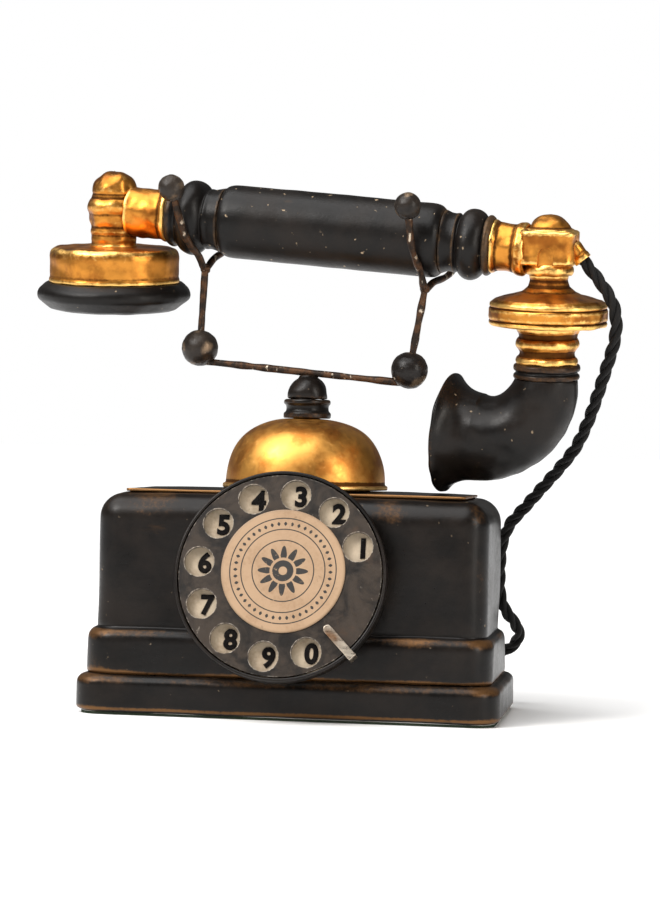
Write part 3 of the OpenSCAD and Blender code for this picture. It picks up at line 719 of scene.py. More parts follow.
@dataclass(frozen=True)
class Metal:
    """Plain worked metal with fine brushing and a tarnish in patches."""

    name: str
    colour: Colour
    tarnish: Colour
    rough: float = 0.32

    def build(self) -> bpy.types.Material:
        """Clean and tarnished metal by noise, with fine scratches in the roughness."""
        g = Graph(self.name)
        patches = g.noise(8, 5, SEED + 11)
        lines = g.noise(0.9, 3, SEED + 12, g.moved((0.12, 1, 1)))
        rough = g.calc("ADD", self.rough, g.calc("MULTIPLY", g.calc("SUBTRACT", lines, 0.5), 0.3), True)
        return g.finish(Base_Color=g.mix(g.band(patches, 0.45, 0.75), self.colour, self.tarnish),
                        Metallic=1.0,
                        Roughness=rough, Normal=g.bump(lines, 0.02))


@dataclass(frozen=True)
class Fabric:
    """Matt fibrous stuff: felt, fibre board, rubber or bound thread."""

    name: str
    dark: Colour
    light: Colour
    size: float = 0.6
    depth: float = 0.15
    rough: float = 0.85

    def build(self) -> bpy.types.Material:
        """Two tones by fine noise, with the same noise as bumps."""
        g = Graph(self.name)
        fibres = g.noise(self.size, 6, SEED + 13, roughness=0.7)
        cloud = g.noise(14, 3, SEED + 14)
        share = g.calc("ADD", g.calc("MULTIPLY", fibres, 0.7), g.calc("MULTIPLY", cloud, 0.4))
        return g.finish(Base_Color=g.mix(g.band(share, 0.35, 0.75), self.dark, self.light),
                        Roughness=self.rough,
                        Normal=g.bump(fibres, self.depth))


@dataclass(frozen=True)
class Braid:
    """Black cotton braid on a strand; U runs along it and V round it."""

    name: str
    turns: float = 300.0
    threads: float = 10.0

    def build(self) -> bpy.types.Material:
        """Two families of crossing threads: the larger of two sine waves, one each way round the strand."""
        g = Graph(self.name)
        uv = g.add("UVMap", {}, uv_map="UVMap").outputs[0]
        parts = g.add("SeparateXYZ", {0: uv})
        u = g.calc("MULTIPLY", parts.outputs[0], FULL_TURN * self.turns)
        v = g.calc("MULTIPLY", parts.outputs[1], FULL_TURN * self.threads)
        one = g.calc("SINE", g.calc("ADD", u, v))
        two = g.calc("SINE", g.calc("SUBTRACT", u, v))
        weave = g.calc("ADD", g.calc("MULTIPLY", g.calc("MAXIMUM", one, two), 0.5), 0.5)
        fuzz = g.noise(0.5, 4, SEED + 15)
        shade = g.calc("MULTIPLY", weave, g.band(fuzz, 0.2, 0.8))
        return g.finish(Base_Color=g.mix(shade, (0.0018, 0.0016, 0.0015), (0.0105, 0.0092, 0.0086)),
                        Roughness=0.72,
                        Normal=g.bump(fuzz, 0.05, g.bump(weave, 0.12)), Sheen_Weight=0.04,
                        Sheen_Roughness=0.4,
                        Specular_IOR_Level=0.25)


@dataclass(frozen=True)
class AgedCard:
    """Old cream card or enamel with stains, creases and darker edges."""

    name: str
    pale: Colour = (0.50, 0.41, 0.29)
    stain: Colour = (0.26, 0.175, 0.10)
    edge: Colour = (0.12, 0.075, 0.04)
    rough: float = 0.55

    def paper(self, g: Graph) -> Link:
        """The card's own colour."""
        cloud = g.noise(11, 5, SEED + 16)
        fine = g.noise(1.1, 4, SEED + 17)
        share = g.calc("ADD", g.calc("MULTIPLY", cloud, 0.75), g.calc("MULTIPLY", fine, 0.3))
        tone = g.mix(g.band(share, 0.46, 0.78), self.pale, self.stain)
        crack = g.band(g.noise(5, 5, SEED + 18, distortion=1.2), 0.66, 0.70)
        return g.mix(g.calc("MULTIPLY", crack, 0.35), tone, self.edge)

    def build(self) -> bpy.types.Material:
        """Stained card with a little tooth."""
        g = Graph(self.name)
        return g.finish(Base_Color=self.paper(g), Roughness=self.rough,
                        Normal=g.bump(g.noise(0.9, 4, SEED + 19), 0.03))


@dataclass(frozen=True)
class PrintedLabel(AgedCard):
    """Card printed in black with rings, a band of small lozenges and a petalled rosette."""

    ring_radii: tuple[float, ...] = (20.0, 15.8, 11.6)
    ring_half: float = 0.17
    marks: int = 44
    band_radius: float = 17.9
    petals: int = 12
    rosette: float = 9.6
    place: Place | None = None
    ink: Colour = (0.012, 0.009, 0.007)

    def build(self) -> bpy.types.Material:
        """Ink is a rule on the radius and angle about the label's centre, in millimetres."""
        g = Graph(self.name)
        local = g.moved((1 / MM, 1 / MM, 1 / MM), self.place)
        xyz = g.add("SeparateXYZ", {0: local})
        x, y = xyz.outputs[0], xyz.outputs[1]
        radius = g.calc("SQRT", g.calc("ADD", g.calc("MULTIPLY", x, x), g.calc("MULTIPLY", y, y)))
        angle = g.calc("ARCTAN2", y, x)
        ink = None
        for ring in self.ring_radii:
            line = g.band(g.calc("ABSOLUTE", g.calc("SUBTRACT", radius, ring)), self.ring_half + 0.08,
                          self.ring_half)
            ink = line if ink is None else g.calc("MAXIMUM", ink, line)
        beat = g.calc("COSINE", g.calc("MULTIPLY", angle, float(self.marks)))
        off = g.calc("ABSOLUTE", g.calc("SUBTRACT", radius, self.band_radius))
        lozenge = g.calc("SUBTRACT", beat, g.calc("MULTIPLY", off, 1.25))
        ink = g.calc("MAXIMUM", ink, g.band(lozenge, -0.05, 0.15))
        wave = g.calc("COSINE", g.calc("MULTIPLY", angle, float(self.petals)))
        edge = g.calc("ADD", self.rosette * 0.80, g.calc("MULTIPLY", wave, self.rosette * 0.20))
        inside = g.calc("SUBTRACT", edge, radius)
        petal = g.calc("MULTIPLY", g.band(inside, 0.0, 0.2), g.band(radius, 4.9, 5.1))
        vein = g.band(g.calc("SUBTRACT", g.calc("MULTIPLY", wave, -1.0), 0.80), -0.05, 0.05)
        petal = g.calc("MULTIPLY", petal, g.calc("SUBTRACT", 1.0, vein))
        core = g.calc("MULTIPLY", g.band(radius, 4.1, 3.9), g.band(radius, 1.5, 1.7))
        ink = g.calc("MAXIMUM", ink, g.calc("MAXIMUM", petal, core))
        faded = g.calc("MULTIPLY", ink, g.band(g.noise(1.3, 5, SEED + 21, roughness=0.7), 0.26, 0.42))
        rim = g.band(radius, 22.2, 23.4)
        colour = g.mix(faded, self.paper(g), self.ink)
        colour = g.mix(g.calc("MULTIPLY", rim, 0.35), colour, self.edge)
        return g.finish(Base_Color=colour, Roughness=0.5, Normal=g.bump(g.noise(0.9, 4, SEED + 19), 0.025))


@dataclass(frozen=True)
class WornWheel:
    """The finger wheel: mottled lacquer, bare in a thin broken line round the rim and the holes."""

    name: str = "dial_lacquer"
    rim: float = 38.2
    hole_circle: float = 31.0
    hole: float = 5.65
    first_hole: float = 22.0
    pitch: float = 30.0
    slots: int = 10
    rim_wear: float = 0.54
    hole_wear: float = 0.62
    place: Place | None = None
    deep: Colour = (0.007, 0.0052, 0.0042)
    light: Colour = (0.036, 0.026, 0.019)
    warm: Colour = (0.11, 0.055, 0.026)
    bare: Colour = (0.55, 0.48, 0.40)

    def edges(self, g: Graph) -> Link:
        """Wear at the rim and at the holes' edges, fading within a millimetre of each."""
        xyz = g.add("SeparateXYZ", {0: g.moved((1 / MM, 1 / MM, 1 / MM), self.place)})
        x, y = xyz.outputs[0], xyz.outputs[1]
        radius = g.calc("SQRT", g.calc("ADD", g.calc("MULTIPLY", x, x), g.calc("MULTIPLY", y, y)))
        pitch = math.radians(self.pitch)
        turned = g.calc("SUBTRACT", g.calc("ARCTAN2", y, x), math.radians(self.first_hole) - pitch / 2)
        turned = g.calc("FLOORED_MODULO", turned, FULL_TURN)
        local = g.calc("SUBTRACT", g.calc("FLOORED_MODULO", turned, pitch), pitch / 2)
        across = g.calc("MULTIPLY", radius, g.calc("SINE", local))
        out = g.calc("SUBTRACT", g.calc("MULTIPLY", radius, g.calc("COSINE", local)), self.hole_circle)
        away = g.calc("SQRT", g.calc("ADD", g.calc("MULTIPLY", across, across), g.calc("MULTIPLY", out, out)))
        slotted = g.band(turned, self.slots * pitch + 0.01, self.slots * pitch)
        holes = g.calc("MULTIPLY", g.band(away, self.hole + 0.75, self.hole + 0.1), slotted)
        rim = g.band(radius, self.rim - 0.8, self.rim - 0.1)
        return g.calc("MAXIMUM", g.calc("MULTIPLY", rim, self.rim_wear),
                      g.calc("MULTIPLY", holes, self.hole_wear))

    def build(self) -> bpy.types.Material:
        """Clouds of three lacquer tones, thin scratches, and bare metal where the wear is full."""
        g = Graph(self.name)
        wear = self.edges(g)
        cloud = g.noise(10, 6, SEED + 22, roughness=0.62, distortion=0.8)
        fine = g.noise(1.2, 5, SEED + 23, roughness=0.65)
        base = g.mix(g.band(cloud, 0.36, 0.62), self.deep, self.light)
        base = g.mix(g.calc("MULTIPLY", g.band(g.noise(14, 5, SEED + 24), 0.56, 0.72), 0.5), base, self.warm)
        scratch = g.band(g.noise(3, 4, SEED + 25, g.moved((1, 0.12, 0.4)), 0.7), 0.66, 0.70)
        bare = g.calc("MULTIPLY", g.band(g.calc("ADD", wear, g.calc("MULTIPLY", fine, 0.7)), 0.86, 1.12), 0.9)
        bare = g.calc("MAXIMUM", bare, g.calc("MULTIPLY", scratch, 0.22))
        rough = g.calc("ADD", 0.40, g.calc("MULTIPLY", g.calc("SUBTRACT", fine, 0.5), 0.4), True)
        return g.finish(Base_Color=g.mix(bare, base, self.bare), Metallic=g.calc("MULTIPLY", bare, 0.9),
                        Specular_IOR_Level=0.3, Roughness=rough, Normal=g.bump(fine, 0.035,
                                                                               g.bump(cloud, 0.10)))


class Looks:
    """Every material of the telephone, built once."""

    def __init__(self) -> None:
        """Builds the finishes."""
        self.case = AgedPaint("case_paint", rub_share=0.62, streaks=0.40, specks=0.35).build()
        self.plinth = AgedPaint("plinth_paint", rub_share=0.50, streaks=0.5, specks=0.4).build()
        self.lid = AgedPaint("lid_paint", rub=(0.30, 0.15, 0.055), rub_share=1.0, streaks=0.9).build()
        self.handset = AgedPaint("handset_paint", rub=(0.15, 0.085, 0.04), rub_share=0.34, streaks=0.75,
                                 specks=1.0,
                                 gloss=0.41, grain=0.09, along=LAYOUT.handset()).build()
        self.horn = AgedPaint("horn_paint", rub=(0.14, 0.068, 0.028), rub_share=0.30, streaks=0.45,
                              specks=0.6,
                              gloss=0.36).build()
        self.post = AgedPaint("post_paint", rub_share=0.25, streaks=0.3, specks=0.3, grain=0.09).build()
        self.balls = AgedPaint("ball_paint", deep=(0.009, 0.007, 0.006), light=(0.040, 0.030, 0.023),
                               rub=(0.24, 0.165, 0.105), rub_share=0.5, streaks=0.2, specks=1.0,
                               speck_colour=(0.55, 0.46, 0.36), gloss=0.36, grain=0.12).build()
        self.dial_cup = AgedPaint("dial_cup_paint", rub=(0.12, 0.08, 0.055), rub_share=0.15,
                                  streaks=0.2).build()
        self.gold = GoldLeaf("gold_leaf").build()
        self.bell = GoldLeaf("bell_gold", shade=(0.50, 0.19, 0.035), body=(0.74, 0.36, 0.080),
                             bright=(0.95, 0.60, 0.22), rough=0.37, dents=0.06, dent_size=9.0).build()
        self.wire = OldWire("old_wire").build()
        self.wheel = WornWheel(place=LAYOUT.dial()).build()
        self.plate = AgedCard("number_card", pale=(0.52, 0.42, 0.30), stain=(0.30, 0.215, 0.135)).build()
        self.label = PrintedLabel("label_print", pale=(0.37, 0.24, 0.14), stain=(0.26, 0.155, 0.080),
                                  place=LAYOUT.dial() @ shift(1.2, 1.6, 0)).build()
        self.ink = AgedPaint("digit_enamel", deep=(0.004, 0.003, 0.003), light=(0.008, 0.006, 0.005),
                             rub_share=0.1,
                             streaks=0.0, specks=0.0, gloss=0.22).build()
        self.stop = Metal("stop_metal", (0.72, 0.62, 0.50), (0.30, 0.15, 0.07), 0.30).build()
        self.steel = Metal("inner_steel", (0.52, 0.51, 0.49), (0.26, 0.24, 0.22), 0.36).build()
        self.brass = Metal("inner_brass", (0.72, 0.50, 0.20), (0.38, 0.23, 0.09), 0.30).build()
        self.copper = Metal("inner_copper", (0.72, 0.33, 0.16), (0.34, 0.14, 0.07), 0.34).build()
        self.iron = Metal("inner_iron", (0.16, 0.145, 0.13), (0.07, 0.055, 0.045), 0.45).build()
        self.fibre = Fabric("inner_fibre", (0.055, 0.028, 0.014), (0.14, 0.075, 0.038), 0.8, 0.04,
                            0.6).build()
        self.felt = Fabric("base_cloth", (0.010, 0.018, 0.010), (0.035, 0.055, 0.030), 0.5, 0.25,
                           0.95).build()
        self.rubber = Fabric("grommet_rubber", (0.006, 0.006, 0.006), (0.018, 0.017, 0.016), 0.4, 0.03,
                             0.6).build()
        self.braid = Braid("cord_braid").build()


# ---------- studio ----------


@dataclass
class Studio:
    """Floor, lights and camera."""

    eye: tuple[float, float, float] = (151.65, -1048.39, 104.56)
    aim: tuple[float, float, float] = (9.46, 0.0, 102.1)
    roll: float = 1.39
    focal: float = 108.16
    sensor: float = 36.0
    floor_size: float = 60.0
    sun: float = 3.7
    sky: float = 0.16

    def camera(self) -> bpy.types.Object:
        """A level view a little from the right, turned by the roll about its own axis."""
        eye, aim = Vector(self.eye) * MM, Vector(self.aim) * MM
        forward = (aim - eye).normalized()
        right = forward.cross(Vector((0, 0, 1))).normalized()
        up = right.cross(forward)
        c, s = math.cos(math.radians(self.roll)), math.sin(math.radians(self.roll))
        basis = Matrix((right * c + up * s, up * c - right * s, -forward)).transposed()
        lens = bpy.data.cameras.new("camera")
        lens.lens = self.focal
        lens.sensor_width = self.sensor
        lens.clip_start, lens.clip_end = 0.01, 50
        seen = bpy.data.objects.new("camera", lens)
        seen.matrix_world = Matrix.Translation(eye) @ basis.to_4x4()
        bpy.context.scene.collection.objects.link(seen)
        bpy.context.scene.camera = seen
        return seen

    def lamp(self, name: str, at: Sequence[float], size: Sequence[float], power: float,
             colour: Colour) -> None:
        """A soft rectangular light in metres that faces the middle of the telephone."""
        light = bpy.data.lights.new(name, "AREA")
        light.shape = "RECTANGLE"
        light.size, light.size_y = size
        light.energy = power
        light.color = colour
        lamp = bpy.data.objects.new(name, light)
        lamp.location = at
        away = Vector((0, 0, 0.11)) - Vector(at)
        lamp.rotation_euler = away.to_track_quat("-Z", "Y").to_euler()
        bpy.context.scene.collection.objects.link(lamp)

    def daylight(self) -> None:
        """Broad even light from high on the left, which whitens the floor as far as it reaches."""
        light = bpy.data.lights.new("daylight", "SUN")
        light.energy = self.sun
        light.angle = math.radians(70)
        lamp = bpy.data.objects.new("daylight", light)
        lamp.rotation_euler = Euler((math.radians(18), math.radians(-22), 0))
        bpy.context.scene.collection.objects.link(lamp)

    def floor(self) -> None:
        """A pale floor that the telephone stands on."""
        half = self.floor_size / 2
        mesh = bpy.data.meshes.new("floor")
        mesh.from_pydata([(-half, -half, 0), (half, -half, 0), (half, half, 0), (-half, half, 0)], [],
                         [(0, 1, 2, 3)])
        plane = bpy.data.objects.new("floor", mesh)
        bpy.context.scene.collection.objects.link(plane)
        g = Graph("pale_floor")
        tone = g.mix(g.noise(60, 3, SEED), (0.97, 0.97, 0.97), (0.98, 0.98, 0.98))
        mesh.materials.append(g.finish(Base_Color=tone, Roughness=0.9, Specular_IOR_Level=0.1))

    def surroundings(self) -> None:
        """White behind the telephone, with dimmer grey walls all round for it to reflect."""
        world = bpy.data.worlds.new("studio")
        bpy.context.scene.world = world
        world.use_nodes = True
        tree = world.node_tree
        tree.nodes.clear()
        out = tree.nodes.new("ShaderNodeOutputWorld")
        joined = tree.nodes.new("ShaderNodeMixShader")
        seen = tree.nodes.new("ShaderNodeLightPath").outputs["Is Camera Ray"]
        walls = tree.nodes.new("ShaderNodeBackground")
        white = tree.nodes.new("ShaderNodeBackground")
        walls.inputs["Strength"].default_value = self.sky
        white.inputs["Color"].default_value = (1, 1, 1, 1)
        tree.links.new(seen, joined.inputs[0])
        tree.links.new(walls.outputs[0], joined.inputs[1])
        tree.links.new(white.outputs[0], joined.inputs[2])
        tree.links.new(joined.outputs[0], out.inputs[0])

    def build(self) -> None:
        """Camera, floor, walls and lamps."""
        self.camera()
        self.floor()
        self.surroundings()
        self.daylight()
        self.lamp("key", (-0.9, -1.0, 1.1), (0.5, 0.5), 14, (1.0, 0.97, 0.93))
        self.lamp("side", (1.1, -0.7, 0.5), (0.25, 0.7), 7, (1.0, 0.95, 0.88))
        bpy.context.scene.view_settings.view_transform = "Standard"


# ---------- the cord ----------


@dataclass
class HandsetCord:
    """Twisted cord of three bound strands, from the transmitter head's gland to the skirt's grommet."""

    diameter: float = 5.0
    strands: int = 3
    pitch: float = 21.0
    route: tuple[tuple[float, float, float], ...] = (
        (0.1064, -0.011, 0.1776), (0.1108, -0.011, 0.1722), (0.1152, -0.0116, 0.1664),
        (0.1186, -0.012, 0.1604),
        (0.12, -0.011, 0.1536), (0.1193, -0.0084, 0.146), (0.1168, -0.0038, 0.1375), (0.1134, 0.0026, 0.127),
        (0.1095, 0.0095, 0.116), (0.1045, 0.0165, 0.1055), (0.098, 0.0225, 0.097), (0.091, 0.028, 0.089),
        (0.084, 0.034, 0.081), (0.078, 0.0388, 0.074), (0.0748, 0.0416, 0.066), (0.074, 0.043, 0.056),
        (0.0742, 0.0436, 0.0465), (0.0757, 0.045, 0.0404), (0.0787, 0.0481, 0.0356), (0.0811, 0.0524, 0.0314),
        (0.0812, 0.0573, 0.0272), (0.0782, 0.0613, 0.0232), (0.0728, 0.0631, 0.0202),
        (0.0667, 0.0619, 0.0186),
        (0.0617, 0.058, 0.0187), (0.0588, 0.0523, 0.0197), (0.058, 0.0459, 0.0205),
    )

    def build(self, looks: Looks) -> None:
        """Strands run as helices about the route and touch one another; the bundle is a diameter across."""
        line = along(smooth_curve(self.route, 12) / MM, 0.7)
        lengths = np.concatenate([[0], np.cumsum(np.linalg.norm(np.diff(line, axis=0), axis=1))])
        first, second = side_vectors(line)
        offset = self.diameter / 2 / (1 + math.sin(math.pi / self.strands))
        thick = self.diameter / 2 - offset
        skins = []
        for k in range(self.strands):
            turned = FULL_TURN * (lengths / self.pitch + k / self.strands)
            axis = line + offset * (np.cos(turned)[:, None] * first + np.sin(turned)[:, None] * second)
            skins.append(swept(axis, thick * 1.04, 14))
        piece = solid("twisted_cord", skins, uv=True)
        piece.data.materials.append(looks.braid)
        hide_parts("handset_cord")
        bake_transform(piece)
        LOG.info("cord: %.1f mm long", lengths[-1])


# ---------- the case ----------


@dataclass
class Case:
    """Plinth, skirted case and lid plate. Heights are above the surface that the telephone stands on."""

    plinth_half: tuple[float, float] = (81.2, 46.3)
    skirt_half: tuple[float, float] = (77.8, 42.5)
    case_half: tuple[float, float] = (75.0, 38.7)
    corner: float = 11.0
    case_corner: float = 9.5
    floor_z: float = 1.0
    plinth_z: float = 11.7
    ledge_z: float = 15.1
    skirt_z: float = 28.6
    skirt_top: float = 32.6
    shoulder_z: float = 74.7
    top_z: float = 84.2
    wall: float = 3.0
    hatch_half: tuple[float, float] = (55.0, 22.0)
    lid_half: tuple[float, float] = (65.6, 28.2)
    lid_z: tuple[float, float, float] = (84.6, 85.6, 86.3)
    lid_ridge: tuple[float, float] = (42.6, 13.2)
    plan: Plan = field(default_factory=Plan)

    def ovolo(self, half: Sequence[float], z: float, step: Sequence[float], rise: float,
              corner: float) -> list[list[float]]:
        """Quarter-ellipse moulding from an upright face inwards: half width, height, half depth, corner."""
        a = np.radians(np.linspace(0, 88, 14))
        return np.stack([half[0] - step[0] * (1 - np.cos(a)), z + rise * np.sin(a),
                         half[1] - step[1] * (1 - np.cos(a)), corner + 0 * a], axis=1).tolist()

    def plinth(self, looks: Looks) -> None:
        """Low moulded frame, hollow inside."""
        w, d = self.plinth_half
        sw, sd = self.skirt_half
        inner = [sw - self.wall, sd - self.wall]
        rows = [[inner[0], self.floor_z, inner[1], 8], [w - 2, self.floor_z, d - 2, self.corner - 1],
                [w, self.floor_z + 1.2, d, self.corner],
                *self.ovolo(self.plinth_half, self.plinth_z, (w - sw, d - sd), 3.4, self.corner),
                [sw - 1.5, self.ledge_z, sd - 1.5, self.corner], [inner[0], self.ledge_z, inner[1], 8]]
        skin = self.plan.skin(Outline(rows, 0.7, 0.5, True), True).beaten(0.12, 26, SEED + 30)
        fit(solid("plinth_moulding", skin), looks.plinth, "root", "case_black", "plinth")

    def shell(self, looks: Looks) -> None:
        """Skirt and upper case in one casting, open below and at the hatch, with dial and cord bores."""
        sw, sd = self.skirt_half
        w, d = self.case_half
        r = self.case_corner
        a = np.radians(np.linspace(0, 90, 20))
        crown = np.stack([w - r * (1 - np.cos(a)), self.shoulder_z + r * np.sin(a), d - r * (1 - np.cos(a)),
                          np.maximum(r * np.cos(a), 0.6)], axis=1).tolist()
        inner_r = r - self.wall
        vault = np.stack([w - self.wall - inner_r * (1 - np.cos(a[::-3])),
                          self.shoulder_z + inner_r * np.sin(a[::-3]),
                          d - self.wall - inner_r * (1 - np.cos(a[::-3])),
                          np.maximum(inner_r * np.cos(a[::-3]), 0.6)],
                         axis=1).tolist()
        hw, hd = self.hatch_half
        rows = [[w - self.wall, self.ledge_z, d - self.wall, inner_r],
                [sw - 0.3, self.ledge_z, sd - 0.3, self.corner],
                [sw, self.ledge_z + 0.4, sd, self.corner],
                *self.ovolo(self.skirt_half, self.skirt_z, (sw - w + 0.2, sd - d + 0.2), 4.0, self.corner),
                [w, self.skirt_top + 0.6, d, r], *crown, [hw, self.top_z, hd, 4],
                [hw, self.top_z - self.wall, hd, 4],
                *vault]
        skin = self.plan.skin(Outline(rows, 1.1, 0.8, True), True)
        skin.wear += 0.10 * ripple(skin.points, 30, SEED + 31)
        shell = solid("case_shell", skin.beaten(0.16, 34, SEED + 32))
        drum = prism("drum_bore", circle(34.3, 96), -30, 5, LAYOUT.dial())
        gland = prism("gland_bore", circle(4.0, 48), 30, 60, shift(58, 0, 20.5) @ turn("x", -90))
        fit(cut(shell, drum, gland), looks.case, "root", "case_black", "housing")

    def lid(self, looks: Looks) -> None:
        """Thin hipped plate with an upright bronze-rubbed edge, bored for the post and the clapper."""
        w, d = self.lid_half
        foot, edge, top = self.lid_z
        hw, hd = self.hatch_half
        rw, rd = self.lid_ridge
        rows = [[4, self.top_z - 2, 2, 1.5], [hw - 0.2, self.top_z - 2, hd - 0.2, 4],
                [hw - 0.2, self.top_z, hd - 0.2, 4],
                [w - 1.2, self.top_z, d - 1.2, 1.5], [w - 1.2, foot, d - 1.2, 1.5], [w, foot, d, 2],
                [w, edge, d, 2],
                [rw, top, rd, 2], [4, top, 2, 1.5]]
        skin = self.plan.skin(Outline(rows, 0.55, 0.22, False), False)
        middle = [np.repeat(np.array([[[0.0, 0.0, z]]]), skin.points.shape[1],
                            axis=1) for z in (self.top_z - 2, top)]
        points = np.concatenate([middle[0], skin.points, middle[1]])
        wear = np.concatenate([skin.wear[:1], skin.wear, skin.wear[-1:]])
        lid = solid("lid_plate", Skin(points, wear).beaten(0.05, 18, SEED + 33))
        post = prism("post_bore", circle(5.05, 48), 70, 100, WORLD)
        slot = prism("clapper_slot", np.array([[17.5, 7.5], [26.5, 7.5], [26.5, 12.5], [17.5, 12.5]]), 70,
                     100, WORLD)
        fit(cut(lid, post, slot), looks.lid, "root", "case_black", "lid")

    def build(self, looks: Looks) -> None:
        """The three castings."""
        self.plinth(looks)
        self.shell(looks)
        self.lid(looks)


@dataclass
class Bell:
    """Gong and the collared post that stands through it."""

    foot_z: float = 86.7
    radius: float = 31.2
    height: float = 27.6
    lip: float = 1.1
    lip_height: float = 1.8
    wall: float = 1.5
    power: float = 2.6
    post_radius: float = 5.0
    post_foot: float = 60.0
    collar_radius: float = 9.2
    collar_height: float = 7.2
    bore: float = 3.05

    def gong(self, looks: Looks) -> None:
        """Bell with a turned lip: the outer outline up to the crown, then the inner one back down."""
        outer = superellipse(self.radius, self.height, self.power, 60)
        inner = superellipse(self.radius - self.wall, self.height - self.wall, self.power, 40)[::-1]
        rim, hole = self.radius + self.lip, self.post_radius + 0.05
        skirt = [[self.radius - self.wall, 0], [rim - 0.3, 0], [rim, 0.3], [rim, self.lip_height - 0.3],
                 [rim - 0.3, self.lip_height], [self.radius, self.lip_height + 0.1]]
        crown = [p for p in outer if p[1] > self.lip_height + 0.4 and p[0] > hole]
        vault = [p for p in inner if p[1] > 0.3 and p[0] > hole]
        line = [*skirt, *crown, [hole, self.height], [hole, self.height - self.wall], *vault]
        skin = lathe(Outline(line, 0.45, 0.3, True), 192).placed(shift(0, 0, self.foot_z))
        fit(solid("gong_bell", skin.beaten(0.10, 20, SEED + 34)), looks.bell, "root", "gong_gold", "gong")

    def post(self, looks: Looks) -> None:
        """Hollow post with a collar of two flanges and a waist."""
        top = self.foot_z + self.height
        big, small = self.collar_radius, self.collar_radius - 1.2
        end = top + self.collar_height
        line = [[self.bore, self.post_foot], [self.post_radius, self.post_foot], [self.post_radius, top],
                [big, top],
                [big, top + 2], [small + 0.3, top + 2.6], [small + 0.1, top + 4], [small + 0.3, end - 2],
                [big, end - 1.5],
                [big - 0.2, end], [self.bore, end]]
        skin = lathe(Outline(line, 0.4, 0.35, True), 120)
        outside = np.linalg.norm(skin.points[..., :2], axis=-1) > self.bore + 0.5
        beaten = outside & (skin.points[..., 2] > top + 0.3)
        turned = skin.points.copy()
        skin.beaten(0.16, 6, SEED + 35)
        skin.points = np.where(beaten[..., None], skin.points, turned)
        fit(solid("post_collar", skin), looks.post, "root", "case_black", "cradle_post")

    def build(self, looks: Looks) -> None:
        """Gong and post."""
        self.gong(looks)
        self.post(looks)


# ---------- the cradle ----------


class Side(Enum):
    """The two ends of the cradle."""

    LEFT = "left"
    RIGHT = "right"


@dataclass(frozen=True)
class ForkShape:
    """One end of the cradle: its ball and junction along the bar, its roll and the tips of its prongs."""

    side: Side
    ball_at: float
    joint_at: float
    roll: float
    tip: tuple[float, float]


